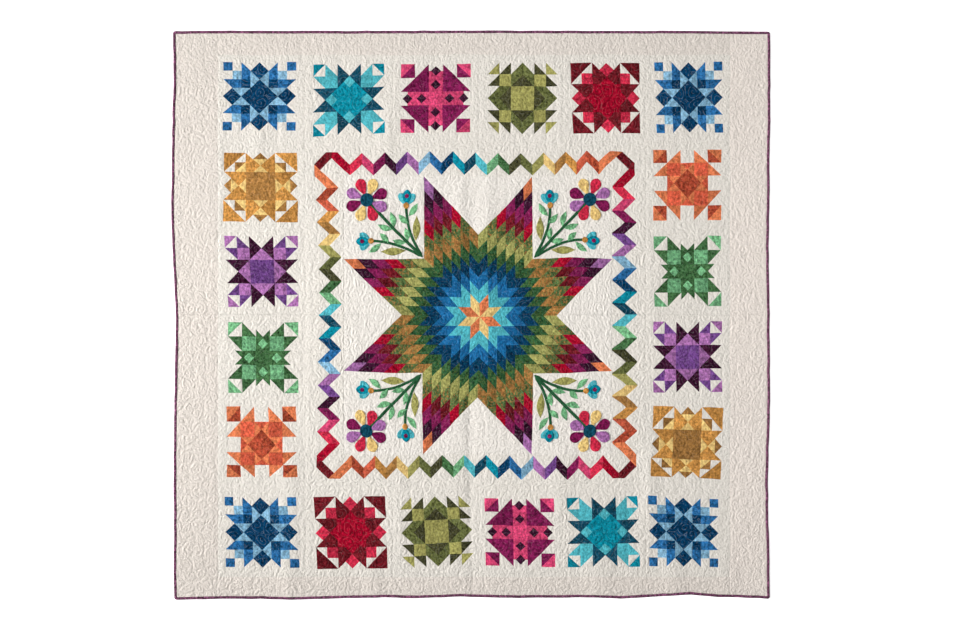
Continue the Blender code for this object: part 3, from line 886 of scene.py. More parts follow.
@dataclass
class ClosedMesh:
    """A closed cloth sheet made of a triangulated face, walls and an underside.

    Args:
        name: Name of the piece.
        top: Points of the face, one row each.
        faces: Triangles of the face, turned anticlockwise seen from above.
        rim: Points round the face's edge in order, anticlockwise.
        cloth: Cotton number of each triangle.
        tone: Shade of each triangle's patch, 0 to 1.
        quilting: Three numbers a point that give the thread's course.
        under: Height of the flat underside.
    """

    name: str
    top: Array
    faces: Array
    rim: Array
    cloth: Array
    tone: Array
    quilting: Array
    under: float = 0.0

    def build(self) -> Piece:
        """Make the Blender object.

        Returns:
            The piece: the face, a wall under each rim edge, and one flat face
            through the lower ends of the walls.
        """
        count = len(self.top)
        bottom = self.top[self.rim].copy()
        bottom[:, 2] = self.under
        points = np.vstack((self.top, bottom))
        following = np.roll(self.rim, -1)
        lower = count + np.arange(len(self.rim))
        walls = np.stack((self.rim, lower, np.roll(lower, -1), following), axis=1)
        corners = np.concatenate((self.faces.ravel(), walls.ravel(), lower[::-1]))
        sizes = np.concatenate((np.full(len(self.faces), 3), np.full(len(walls), 4), [len(lower)]))
        starts = np.concatenate(([0], np.cumsum(sizes)[:-1]))

        mesh = bpy.data.meshes.new(self.name)
        mesh.vertices.add(len(points))
        mesh.vertices.foreach_set("co", points.astype(np.float32).ravel())
        mesh.loops.add(len(corners))
        mesh.loops.foreach_set("vertex_index", corners.astype(np.int32))
        mesh.polygons.add(len(sizes))
        mesh.polygons.foreach_set("loop_start", starts.astype(np.int32))
        slots = add_cottons(mesh, self.cloth)
        common = int(np.bincount(slots).argmax())
        material = np.concatenate((slots, np.full(len(sizes) - len(slots), common)))
        mesh.polygons.foreach_set("material_index", material.astype(np.int32))
        mesh.update(calc_edges=True)
        mesh.validate()
        mesh.shade_smooth()
        self.sharpen(mesh, count)
        mark_cloth(mesh, self.tone, self.quilting)
        return add_object(self.name, mesh)

    def sharpen(self, mesh: bpy.types.Mesh, count: int) -> None:
        """Mark the edges round the face and the underside as sharp.

        Args:
            mesh: The finished mesh.
            count: Number of points of the face.
        """
        ends = np.empty(len(mesh.edges) * 2, dtype=np.int32)
        mesh.edges.foreach_get("vertices", ends)
        ends = np.sort(ends.reshape(-1, 2), axis=1)
        total = len(mesh.vertices)
        keys = ends[:, 0].astype(np.int64) * total + ends[:, 1]
        round_rim = np.sort(np.stack((self.rim, np.roll(self.rim, -1)), axis=1), axis=1)
        rim_keys = round_rim[:, 0].astype(np.int64) * total + round_rim[:, 1]
        sharp = np.isin(keys, rim_keys) | (ends[:, 0] >= count)
        mark = mesh.attributes.new("sharp_edge", "BOOLEAN", "EDGE")
        mark.data.foreach_set("value", sharp)


@dataclass
class SewnUnit:
    """One sewn unit of the face, on a grid that follows its seams.

    Args:
        node: CAD node that it stands for, and its name.
        material_slot: Not used.
        across: Grid lines along the first pattern direction.
        along: Grid lines along the second pattern direction.
        locate: Turns pattern coordinates into metres.
        design: Gives the cotton and the tone at pattern coordinates.
        flat: Width and length of the flat cloth in metres; not used.
        area: Flat area, for a unit that isn't a rectangle; not used.
        half: Keeps only the half of the grid below its diagonal.
        seam_depth, rim_depth: Depth of a seam in the unit and round it, 0 to 1.
        seam_spread: Share of a seam's depth that reaches the next points.
        probe: Where a cell's cottons are looked up, inside its sides.
        tone_steps: Steps of tone that tell patches of one cotton apart.
    """

    node: str
    material_slot: str
    across: Array
    along: Array
    locate: Locate
    design: Design
    flat: Two
    area: float | None = None
    half: bool = False
    seam_depth: float = 0.6
    rim_depth: float = 0.5
    seam_spread: Two = (0.45, 0.35)
    probe: float = 0.2
    tone_steps: float = 512.0

    def cells(self) -> tuple[Pair, Pair]:
        """Return the near and the far corners of all grid cells."""
        near = np.meshgrid(self.across[:-1], self.along[:-1], indexing="ij")
        return near, np.meshgrid(self.across[1:], self.along[1:], indexing="ij")

    def falling(self) -> Array:
        """Find the cells that are split down from left to right.

        Returns:
            True or False for each cell: the way that parts the cottons found
            near its four sides, or else by turns.
        """
        (u0, v0), (u1, v1) = self.cells()
        um, vm, du, dv = 0.5 * (u0 + u1), 0.5 * (v0 + v1), u1 - u0, v1 - v0
        south = self.design(um, v0 + self.probe * dv)[0]
        north = self.design(um, v1 - self.probe * dv)[0]
        west = self.design(u0 + self.probe * du, vm)[0]
        east = self.design(u1 - self.probe * du, vm)[0]
        falling = (south == west) & (north == east) & (south != north)
        rising = (south == east) & (north == west) & (south != north)
        if self.half:
            return np.ones_like(falling)
        return falling | (~rising & (np.indices(falling.shape).sum(axis=0) % 2 == 0))

    def triangles(self) -> tuple[Array, Array, Array]:
        """Split each grid cell along the seam that crosses it.

        Returns:
            Point numbers of the triangles, and the cotton and tone of each,
            looked up at the triangle's middle.
        """
        falling = self.falling()
        nx, ny = falling.shape
        (u0, v0), (u1, v1) = self.cells()
        du, dv = u1 - u0, v1 - v0
        i, j = np.indices(falling.shape)
        p00 = i * (ny + 1) + j
        p10, p01, p11 = p00 + ny + 1, p00 + 1, p00 + ny + 2
        first = np.where(falling[..., None], np.stack((p00, p10, p01), -1), np.stack((p00, p10, p11), -1))
        last = np.where(falling[..., None], np.stack((p10, p11, p01), -1), np.stack((p00, p11, p01), -1))
        third, rest = 1.0 / 3.0, 2.0 / 3.0
        middles = (
            (np.where(falling, u0 + third * du, u0 + rest * du), v0 + third * dv),
            (np.where(falling, u0 + rest * du, u0 + third * du), v0 + rest * dv),
        )
        keeps = (i + j < nx, i + j < nx - 1) if self.half else (np.ones(i.shape, bool),) * 2
        looks = [self.design(*middle) for middle in middles]
        faces = np.concatenate([part[keep] for part, keep in zip((first, last), keeps)])
        cloth = np.concatenate([look[0][keep] for look, keep in zip(looks, keeps)])
        tone = np.concatenate([look[1][keep] for look, keep in zip(looks, keeps)])
        return faces, cloth, tone

    def rim(self) -> Array:
        """Point numbers round the edge of the grid, in order.

        Returns:
            Along the first direction, up the far side or diagonal, and back.
        """
        nx, ny = len(self.across) - 1, len(self.along) - 1
        i, j = np.arange(nx + 1), np.arange(ny + 1)
        base = i * (ny + 1)
        if self.half:
            slope = (nx - j[1:]) * (ny + 1) + j[1:]
            return np.concatenate((base, slope, j[-2:0:-1]))
        far = nx * (ny + 1) + j[1:]
        back = i[-2::-1] * (ny + 1) + ny
        return np.concatenate((base, far, back, j[-2:0:-1]))

    def seams(self, count: int, faces: Array, cloth: Array, tone: Array, rim: Array) -> Array:
        """Find how near each point is to a seam.

        Args:
            count: Number of points.
            faces: Triangles.
            cloth: Cotton of each triangle.
            tone: Tone of each triangle, which also tells patches apart.
            rim: Points round the edge.

        Returns:
            The seam's depth where triangles of unlike patches meet, and less
            at the next points and those after them.
        """
        mark = cloth + np.round(tone * self.tone_steps) / (2.0 * self.tone_steps)
        low, high = np.full(count, np.inf), np.full(count, -np.inf)
        for corner in range(3):
            np.minimum.at(low, faces[:, corner], mark)
            np.maximum.at(high, faces[:, corner], mark)
        seam = (high > low) * self.seam_depth
        seam[rim] = np.maximum(seam[rim], self.rim_depth)
        for share in self.seam_spread:
            spread = seam[faces].max(axis=1) * share
            wider = seam.copy()
            for corner in range(3):
                np.maximum.at(wider, faces[:, corner], spread)
            seam = wider
        return seam

    def build(self) -> Piece:
        """Returns:
            The finished piece.
        """
        grid_u, grid_v = np.meshgrid(self.across, self.along, indexing="ij")
        x, y = self.locate(grid_u.ravel(), grid_v.ravel())
        faces, cloth, tone = self.triangles()
        rim = self.rim()
        used = np.unique(faces)
        place = np.zeros(len(x), dtype=np.int64)
        place[used] = np.arange(len(used))
        faces, rim, x, y = place[faces], place[rim], x[used], y[used]
        a, b, c = faces[:, 0], faces[:, 1], faces[:, 2]
        turn = (x[b] - x[a]) * (y[c] - y[a]) - (x[c] - x[a]) * (y[b] - y[a])
        if turn.mean() < 0.0:
            faces, rim = faces[:, ::-1], rim[::-1]
        z, quilting = SURFACE.height(x, y, self.seams(len(x), faces, cloth, tone, rim))
        piece = ClosedMesh(self.node, np.stack((x, y, z), axis=1), faces, rim, cloth, tone, quilting).build()
        finish_piece(piece, self.node)
        LOG.info("%s: %d triangles", self.node, len(faces))
        return piece


def finish_piece(piece: Piece, node: str) -> None:
    """Tie a piece to the CAD body and to the node it stands for.

    Args:
        piece: The piece.
        node: CAD node that it replaces.
    """
    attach(piece, "root")
    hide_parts(node)


def plain(cloth: str) -> Design:
    """Return a design of one cotton with an even tone."""

    def design(u: Array, v: Array) -> Pair:
        """Give the cotton and the tone at every place."""
        return np.full(u.shape, CLOTH[cloth]), np.full(u.shape, EVEN_TONE)

    return design


@dataclass(frozen=True)
class Patch:
    """A patch of a block's chart, repeated at its four quarter turns.

    Args:
        cloth: Name of the cotton.
        outline: Corners in the chart's units, u to the right and v down.
    """

    cloth: str
    outline: Table


@dataclass(frozen=True)
class BlockChart:
    """Chart of a pieced block.

    Args:
        units: Grid units across the figure.
        fineness: Grid cells in each unit.
        patches: Patches, later ones over earlier ones.
    """

    units: int
    fineness: int
    patches: tuple[Patch, ...]

    def turned(self, u: Array, v: Array, quarter: int) -> Pair:
        """Turn chart coordinates by quarter turns about the middle."""
        for _ in range(quarter):
            u, v = v, self.units - u
        return u, v

    @staticmethod
    def inside(u: Array, v: Array, outline: Table) -> Array:
        """Tell which points lie inside an outline.

        Args:
            u, v: Units to the right and down.
            outline: Corners in order.

        Returns:
            True where a ray from the point crosses the outline an odd number
            of times.
        """
        result = np.zeros(u.shape, bool)
        for (ua, va), (ub, vb) in zip(outline, outline[1:] + outline[:1]):
            if va != vb:
                crosses = (va > v) != (vb > v)
                result ^= crosses & (u < (ub - ua) * (v - va) / (vb - va) + ua)
        return result

    def design(self, seed: int) -> Design:
        """Return the chart as a design.

        Args:
            seed: Chooses the tones of its patches.

        Returns:
            A function of chart coordinates.
        """

        def paint(u: Array, v: Array) -> Pair:
            """Give the cotton and tone of the last patch over each place."""
            cloth, tone = plain(GROUND)(u, v)
            for order, part in enumerate(self.patches):
                for quarter in range(4):
                    hit = self.inside(*self.turned(u, v, quarter), part.outline)
                    cloth[hit] = CLOTH[part.cloth]
                    key = np.array([order * 4 + quarter])
                    tone[hit] = hashed(key, key * 3, seed)[0]
            return cloth, tone

        return paint


def patch(cloth: str, *outline: Two) -> Patch:
    """Make a patch from its corners."""
    return Patch(cloth, outline)


def square(cloth: str, u: float, v: float, size: float) -> Patch:
    """Make an upright square patch from its upper left corner."""
    return Patch(cloth, ((u, v), (u + size, v), (u + size, v + size), (u, v + size)))


def diamond(cloth: str, u: float, v: float, half: float) -> Patch:
    """Make a square patch that stands on its corner, from its middle."""
    return Patch(cloth, ((u, v - half), (u + half, v), (u, v + half), (u - half, v)))


CHARTS: dict[str, BlockChart] = {
    "blue": BlockChart(8, 9, (
        square("blue", 0, 0, 1), square("sky", 1, 1, 1), patch("blue", (2, 0), (3, 1), (3, 2), (2, 2)),
        patch("blue", (0, 2), (2, 2), (2, 3), (1, 3)), square("navy", 2, 2, 1), diamond("navy", 4, 1, 1),
        patch("sky", (3, 1), (4, 2), (3, 3)), patch("sky", (5, 1), (5, 3), (4, 2)),
        diamond("navy", 4, 4, 2),
    )),
    "teal": BlockChart(6, 12, (
        patch("teal", (0, 0), (1, 0), (0, 1)), patch("aqua", (1, 0), (2, 1), (1, 1)),
        patch("aqua", (0, 1), (1, 1), (1, 2)), square("aqua", 1, 1, 1),
        patch("deep_teal", (2, 0), (3, 1), (2, 2)), patch("deep_teal", (4, 0), (4, 2), (3, 1)),
        diamond("teal", 3, 3, 2), diamond("aqua", 3, 1.5, 0.5),
    )),
    "purple": BlockChart(6, 12, (
        patch("lilac", (0, 0), (1, 0), (0, 1)), patch("violet", (1, 0), (2, 1), (1, 1)),
        patch("violet", (0, 1), (1, 1), (1, 2)), square("lilac", 1, 1, 1),
        patch("blackcurrant", (2, 0), (3, 1), (2, 2)), patch("blackcurrant", (4, 0), (4, 2), (3, 1)),
        patch("lilac", (2, 2), (4, 2), (3, 1)), square("violet", 2, 2, 2),
    )),
    "pink": BlockChart(5, 14, (
        patch("rose", (0, 0), (1, 0), (0, 1)), patch("plum", (1, 0), (1, 1), (0, 1)),
        patch("plum", (2, 0), (2, 2), (0, 2)), square("rose", 2, 2, 1), square("rose", 2, 1, 1),
        patch("rose", (2, 0.5), (3, 0.5), (3, 1), (2, 1)), diamond("blackcurrant", 2.5, 1.5, 5 / 14),
        diamond("blackcurrant", 2.5, 0.5, 5 / 14),
    )),
    "olive": BlockChart(6, 12, (
        patch("olive", (1, 0), (1, 1), (0, 1)), patch("dark_moss", (2, 0), (2, 1), (1, 1)),
        patch("dark_moss", (1, 1), (1, 2), (0, 2)), square("olive", 1, 1, 1),
        patch("moss", (3, 0), (4, 1), (4, 2), (3, 1), (2, 2), (2, 1)),
        patch("dark_moss", (2, 2), (3, 1), (4, 2)), square("olive", 2, 2, 2),
    )),
    "red": BlockChart(10, 8, (
        patch("maroon", (0, 0), (3, 0), (0, 3)), square("scarlet", 1.5, 1.5, 1.5),
        diamond("scarlet", 5, 1, 1), patch("maroon", (3, 0), (5, 2), (4, 3), (3, 3)),
        patch("maroon", (7, 0), (7, 3), (6, 3), (5, 2)), patch("crimson", (5, 2), (6, 3), (4, 3)),
        square("crimson", 3, 3, 4),
    )),
    "gold": BlockChart(10, 8, (
        patch("gold", (0, 0), (3, 0), (0, 3)), patch("brown_gold", (1.5, 1.5), (3, 1.5), (1.5, 3)),
        patch("straw", (3, 1.5), (3, 3), (1.5, 3)), patch("brown_gold", (5, 0), (6, 1), (4, 1)),
        patch("straw", (4, 1), (6, 1), (5, 2)), patch("gold", (3, 0), (4, 1), (5, 2), (4, 3), (3, 3)),
        patch("gold", (7, 0), (7, 3), (6, 3), (5, 2), (6, 1)), patch("straw", (5, 2), (6, 3), (4, 3)),
        square("brown_gold", 3, 3, 4),
    )),
    "green": BlockChart(5, 14, (
        patch("mint", (0, 0), (1, 0), (0, 1)), patch("forest", (1, 0), (2, 1), (1, 1)),
        patch("forest", (0, 1), (1, 1), (1, 2)), square("mint", 1, 1, 1),
        patch("forest", (2, 0.5), (2.5, 1), (2, 1)), patch("forest", (3, 0.5), (3, 1), (2.5, 1)),
        square("forest", 2, 1, 1), diamond("mint", 2.5, 1.5, 5 / 14), square("forest", 2, 2, 1),
    )),
    "orange": BlockChart(5, 14, (
        patch("orange", (0, 0), (1, 0), (0, 1)), patch("rust", (1, 0), (1, 1), (0, 1)),
        patch("orange", (2, 0), (2, 1), (1, 1)), patch("orange", (1, 1), (1, 2), (0, 2)),
        square("coral", 1, 1, 1), patch("coral", (2, 1), (3, 1), (2.5, 1.5)),
        patch("orange", (2, 1), (2.5, 1.5), (2, 2)), patch("orange", (3, 1), (3, 2), (2.5, 1.5)),
        patch("rust", (2, 2), (2.5, 1.5), (3, 2)), square("rust", 2, 2, 1),
    )),
}


@dataclass
class BlockRing:
    """Ring of pieced blocks, clockwise from the top left, in two rounds.

    Args:
        order: Designs in order.
        across: Blocks along each side.
        block: Side of a block in inches.
        figure: Side of its pieced figure in inches.
        frame_cells: Grid cells across the plain margin round the figure.
        placings: How unevenly each figure came out: inches to the right and
            up, and shares of its width and height.
        leans: Blocks that are pulled out of square: number, then inches to the
            right and up of the upper left, upper right, lower right and lower
            left corner.
    """

    order: tuple[str, ...] = (
        "blue", "teal", "pink", "olive", "red", "blue", "orange", "green", "purple", "gold",
    )
    across: int = 6
    block: float = 12.0
    figure: float = 10.0
    frame_cells: int = 7
    placings: Table = (
        (-0.3, 0.25, 1.0, 0.95), (-0.05, -0.2, 0.98, 0.98), (-0.05, -0.05, 0.97, 0.95),
        (0.2, 0.0, 1.0, 0.99), (0.15, 0.0, 0.98, 0.97), (0.15, 0.1, 0.96, 0.98), (-0.1, -0.1, 0.97, 0.97),
        (-0.05, 0.1, 0.96, 0.97), (-0.05, 0.15, 0.98, 1.0), (-0.1, 0.35, 1.0, 0.98),
        (-0.6, 0.05, 0.98, 0.95), (-0.25, 0.05, 1.01, 0.95), (-0.15, 0.0, 0.98, 0.95),
        (0.1, 0.1, 0.98, 0.95), (0.25, -0.1, 0.97, 0.96), (-0.05, 0.0, 0.99, 0.95),
        (0.0, 0.4, 0.97, 0.97), (0.2, 0.05, 0.96, 1.0), (0.05, 0.05, 0.99, 0.98), (-0.2, -0.4, 1.0, 0.96),
    )
    leans: Table = (
        (1, 0.0, -0.1, -0.1, 0.1, 0.1, 0.3, 0.0, -0.3), (4, -0.3, 0.0, -0.1, 0.0, 0.1, 0.0, 0.2, -0.1),
        (5, -0.2, 0.0, -0.1, 0.0, 0.1, 0.0, 0.2, 0.0), (9, 0.1, 0.1, 0.1, -0.2, -0.2, -0.2, -0.2, 0.4),
        (10, -0.2, 0.2, 0.0, -0.4, 0.0, 0.0, 0.0, 0.2), (11, -0.2, -0.2, -0.1, 0.1, 0.3, 0.1, 0.0, 0.0),
        (12, -0.2, -0.2, -0.1, -0.2, 0.2, 0.1, 0.0, 0.3),
        (13, -0.3, -0.2, -0.3, 0.1, 0.3, 0.3, 0.2, -0.2), (14, -0.3, 0.0, -0.2, 0.2, 0.2, 0.1, 0.2, -0.1),
        (15, -0.1, 0.0, -0.2, 0.0, 0.3, 0.0, 0.1, 0.1), (16, 0.0, 0.0, -0.2, 0.0, 0.1, 0.1, 0.1, 0.1),
        (18, -0.2, 0.0, 0.0, 0.0, 0.0, 0.1, 0.3, 0.0), (19, 0.0, -0.1, 0.0, -0.1, 0.2, 0.0, -0.1, 0.1),
    )

    def cell(self, number: int) -> tuple[int, int]:
        """Find a block's place.

        Args:
            number: Its number, clockwise from the top left.

        Returns:
            Its column and its row from the top.
        """
        last = self.across - 1
        side, step = divmod(number, last)
        return ((step, 0), (last, step), (last - step, last), (0, last - step))[side]

    def lean(self, number: int, u: Array, v: Array, units: float, margin: float) -> Pair:
        """Find how far a block's patches are pulled out of square.

        Args:
            number: Its number, clockwise from the top left.
            u, v: Chart units from the figure's left and top.
            units: Side of the figure in chart units.
            margin: Width of the plain margin in chart units.

        Returns:
            Inches to the right and up: the corners' pulls blended across the
            figure, falling to 0 over the margin.
        """
        s, t = np.clip(u / units, 0.0, 1.0), np.clip(v / units, 0.0, 1.0)
        hold = np.clip(1.0 + np.minimum(u, units - u) / margin, 0.0, 1.0)
        hold = hold * np.clip(1.0 + np.minimum(v, units - v) / margin, 0.0, 1.0)
        weights = np.stack(((1.0 - s) * (1.0 - t), s * (1.0 - t), s * t, (1.0 - s) * t))
        pulled = {row[0]: row[1:] for row in self.leans}
        pulls = np.reshape(pulled.get(number, (0.0,) * 8), (4, 2))
        right, up = np.einsum("k...,kc->c...", weights, pulls) * hold
        return right, up

    def build(self) -> list[Piece]:
        """Make all the blocks."""
        return [self.build_block(number) for number in range(4 * (self.across - 1))]

    def build_block(self, number: int) -> Piece:
        """Make one block.

        Args:
            number: Its number, clockwise from the top left.

        Returns:
            The piece.
        """
        colour = self.order[number % len(self.order)]
        chart = CHARTS[colour]
        column, row = self.cell(number)
        left = -PLAN.core_half + self.block * column
        high = PLAN.core_half - self.block * row
        right, up, wide, tall = self.placings[number]
        margin = 0.5 * (self.block - self.figure) * chart.units / self.figure
        knots = np.array([-margin, 0.0, chart.units, chart.units + margin])
        middle, half = 0.5 * self.block, 0.5 * self.figure
        inches_u = np.array([0.0, middle + right - half * wide, middle + right + half * wide, self.block])
        inches_v = np.array([0.0, middle - up - half * tall, middle - up + half * tall, self.block])

        def locate(u: Array, v: Array) -> Pair:
            """Place chart units in metres."""
            pull_right, pull_up = self.lean(number, u, v, chart.units, margin)
            across = left + np.interp(u, knots, inches_u) + pull_right
            return PLAN.unit(across, high - np.interp(v, knots, inches_v) + pull_up)

        before = np.linspace(-margin, 0.0, self.frame_cells + 1)[:-1]
        inner = np.linspace(0.0, chart.units, chart.units * chart.fineness + 1)
        lines = np.concatenate((before, inner, chart.units - before[::-1]))
        name, slot, side = f"block_{number + 1:02d}_{colour}", f"{colour}_patchwork", self.block * INCH
        return SewnUnit(name, slot, lines, lines, locate, chart.design(number), (side, side)).build()


@dataclass
class CentreStar:
    """Eight-pointed star of diamonds with its setting pieces.

    Args:
        rows: Cottons of the diamond rows from tip to centre, for the two
            kinds of point that take turns.
        bright, bright_row: Cotton of one row's end diamonds, and which row.
        diamonds: Diamonds along a point's side.
        fineness: Grid cells along a diamond's side.
        plain_cells: Grid cells along a side of a square or triangle.
    """

    rows: tuple[tuple[str, str], ...] = (
        ("lilac", "orange"), ("blackcurrant", "blackcurrant"), ("star_plum", "star_plum"),
        ("maroon", "maroon"), ("star_moss", "star_moss"), ("star_tan", "star_olive"),
        ("star_green", "star_green"), ("star_navy", "star_navy"), ("star_blue", "star_blue"),
        ("aqua", "aqua"), ("star_yellow", "orange"),
    )
    bright: str = "crimson"
    bright_row: int = 3
    diamonds: int = 6
    fineness: int = 13
    plain_cells: int = 80

    def build(self) -> list[Piece]:
        """Make the points, squares and triangles.

        Returns:
            The pieces.
        """
        pieces = [self.build_point(number) for number in range(8)]
        pieces += [self.build_square(corner) for corner in Corner]
        return pieces + [self.build_triangle(side) for side in Side]

    def point_design(self, number: int) -> Design:
        """Return the diamonds of a point.

        Args:
            number: Number of the point, anticlockwise from the right.

        Returns:
            A function of the distances along its two sides, in diamonds.
        """
        kind = number % 2
        cottons = np.array([CLOTH[row[kind]] for row in self.rows])

        def design(a: Array, b: Array) -> Pair:
            """Give the cotton and tone of the diamond at each place."""
            i = np.clip(np.floor(a), 0, self.diamonds - 1).astype(int)
            j = np.clip(np.floor(b), 0, self.diamonds - 1).astype(int)
            row = 2 * (self.diamonds - 1) - i - j
            at_end = (row == self.bright_row) & (np.abs(i - j) == self.bright_row)
            return np.where(at_end, CLOTH[self.bright], cottons[row]), hashed(i, j, Seed.POINT_TONE + number)

        return design

    @staticmethod
    def fan(first: float, second: float, step: float, start: Two = (0.0, 0.0)) -> Locate:
        """Return a placing function on two slanting directions.

        Args:
            first, second: Angles of the two directions in radians.
            step: Inches in a unit of both.
            start: Where both are 0, in the same units.

        Returns:
            A function of the distances along both directions.
        """

        def locate(a: Array, b: Array) -> Pair:
            """Place the sum of both distances in metres."""
            u = step * (start[0] + a * math.cos(first) + b * math.cos(second))
            v = step * (start[1] + a * math.sin(first) + b * math.sin(second))
            return PLAN.star_place(u, v)

        return locate

    def build_point(self, number: int) -> Piece:
        """Make one point of the star.

        Args:
            number: Number of the point, anticlockwise from the right.

        Returns:
            The piece.
        """
        first, second = math.radians(45.0 * number), math.radians(45.0 * (number + 1))
        locate = self.fan(first, second, PLAN.star_edge / self.diamonds)
        lines = np.linspace(0.0, self.diamonds, self.diamonds * self.fineness + 1)
        name, side, design = f"star_point_{number + 1}", PLAN.star_edge * INCH, self.point_design(number)
        area = side * side * HALF_ROOT
        return SewnUnit(name, "star_patchwork", lines, lines, locate, design, (side, side), area).build()

    def build_square(self, corner: Corner) -> Piece:
        """Make a corner square between two points.

        Args:
            corner: Which corner.

        Returns:
            The piece.
        """
        right, up = corner.value
        notch = PLAN.star_edge * HALF_ROOT

        def locate(a: Array, b: Array) -> Pair:
            """Place shares of the square's sides in metres."""
            return PLAN.star_place(right * (notch + PLAN.star_edge * a), up * (notch + PLAN.star_edge * b))

        lines = np.linspace(0.0, 1.0, self.plain_cells + 1)
        name, side, design = f"star_square_{corner.name.lower()}", PLAN.star_edge * INCH, plain(STAR_GROUND)
        return SewnUnit(name, "cream_ground", lines, lines, locate, design, (side, side)).build()

    def build_triangle(self, side: Side) -> Piece:
        """Make a setting triangle between two points.

        Args:
            side: Which side of the star it faces.

        Returns:
            The piece.
        """
        facing = math.radians(side.value)
        notch = (math.cos(facing), math.sin(facing))
        locate = self.fan(facing + math.pi / 4.0, facing - math.pi / 4.0, PLAN.star_edge, notch)
        lines = np.linspace(0.0, 1.0, self.plain_cells + 1)
        name, edge, design = f"star_triangle_{side.name.lower()}", PLAN.star_edge * INCH, plain(STAR_GROUND)
        area = 0.5 * edge * edge
        return SewnUnit(name, "cream_ground", lines, lines, locate, design, (edge, edge), area, True).build()


@dataclass
class ZigzagFrame:
    """Folded-ribbon zigzag on a lattice of half periods round the star.

    Args:
        slants: Cottons of a side's slants, in the order they run clockwise.
        corner: Cotton of the ribbon across each corner.
        fineness: Grid cells in a half period.
        start: Where the even zigzag starts, in half periods from a corner.
        fold: Where the ribbon folds round the corner.
        slack: How far the ribbon is looked for beyond its width.
        clear: Least distance of a strip's edge to a grid line, in cells.
    """

    slants: tuple[str, ...] = (
        "crimson", "scarlet", "rose", "plum", "blackcurrant", "violet", "lilac", "sky",
        "blue", "navy", "teal", "deep_teal", "aqua", "mint", "forest", "dark_moss",
        "moss", "olive", "straw", "brown_gold", "gold", "brick", "rust", "orange",
    )
    corner: str = "maroon"
    fineness: int = 12
    start: float = 2.0
    fold: float = 1.5
    slack: float = 0.01
    clear: float = 0.3

    def side_paint(self, across: Array, down: Array) -> Array:
        """Paint the ribbon of the upper side.

        Args:
            across, down: Half periods from the ring's left and top.

        Returns:
            Cotton number, or -1 off the ribbon. Between the corners the
            ribbon's upper edge is a triangle wave one half period high.
        """
        count = len(self.slants)
        cottons = np.array([CLOTH[name] for name in self.slants])
        number = np.clip(np.floor(across - self.start), 0, count - 1).astype(int)
        wave = 1.0 - np.abs(np.mod(across - self.start, 2.0) - 1.0)
        far = RING - across
        on_wave = (across >= self.start) & (far >= self.start) & (down >= wave) & (down <= wave + 1.0)
        near_lap = (across >= self.fold) & (across < self.start) & (down >= 0.0) & (down <= across - 1.0)
        far_lap = (far < self.start) & (far + down >= 0.0) & (down >= 0.0)
        far_lap &= (down <= far - 1.0) & (across + down <= RING - 1.0)
        ring_corner = (across + down >= 1.0) & (across + down <= 2.0) & (across <= self.fold)
        ring_corner &= (down - across <= 1.0) & (down >= 0.0) & (across >= 0.0)
        painted = np.where(on_wave | near_lap | far_lap, cottons[number], -1)
        return np.where(ring_corner, CLOTH[self.corner], painted)

    def design(self, across: Array, down: Array) -> Pair:
        """Paint the whole ring.

        Args:
            across, down: Half periods from the ring's left and top.

        Returns:
            Cotton number and tone. The upper side's ribbon is turned to each
            of the other sides.
        """
        cloth, tone = plain(GROUND)(across, down)
        turned = ((across, down), (down, RING - across), (RING - across, RING - down), (RING - down, across))
        for quarter, (along, depth) in enumerate(turned):
            near = (depth <= self.start + self.slack) & (along >= 0.0) & (along <= RING)
            paint = self.side_paint(along, depth)
            hit = near & (paint >= 0)
            cloth[hit] = paint[hit]
            tone[hit] = hashed(np.floor(along), np.full(along.shape, quarter), Seed.ZIGZAG_TONE)[hit]
        return cloth, tone

    def lines(self, low: float, high: float) -> Array:
        """Grid lines on the lattice between two places.

        Args:
            low, high: First and last line.

        Returns:
            Both ends and every lattice line well between them.
        """
        step = 1.0 / self.fineness
        first, last = math.ceil(low / step + self.clear), math.floor(high / step - self.clear)
        return np.concatenate(([low], np.arange(first, last + 1) * step, [high]))

    def build(self) -> list[Piece]:
        """Make the four strips.

        Returns:
            The pieces.
        """
        near_x, far_x, near_y, far_y = PLAN.star_line()
        whole = (-EDGE, RING + EDGE)
        strips = {
            "n": (whole, (-EDGE, near_y)),
            "s": (whole, (far_y, RING + EDGE)),
            "w": ((-EDGE, near_x), (near_y, far_y)),
            "e": ((far_x, RING + EDGE), (near_y, far_y)),
        }
        return [self.build_strip(side, *spans) for side, spans in strips.items()]

    def build_strip(self, side: str, across: Two, down: Two) -> Piece:
        """Make one strip.

        Args:
            side: Its side.
            across, down: Its spans to the right and downwards, in half periods.

        Returns:
            The piece.
        """
        us, vs = self.lines(*across), self.lines(*down)
        x, y = PLAN.ribbon_place(np.array(across), np.array(down))
        flat = (float(x[1] - x[0]), float(y[0] - y[1]))
        name, slot = f"zigzag_{side}", "zigzag_patchwork"
        return SewnUnit(name, slot, us, vs, PLAN.ribbon_place, self.design, flat).build()


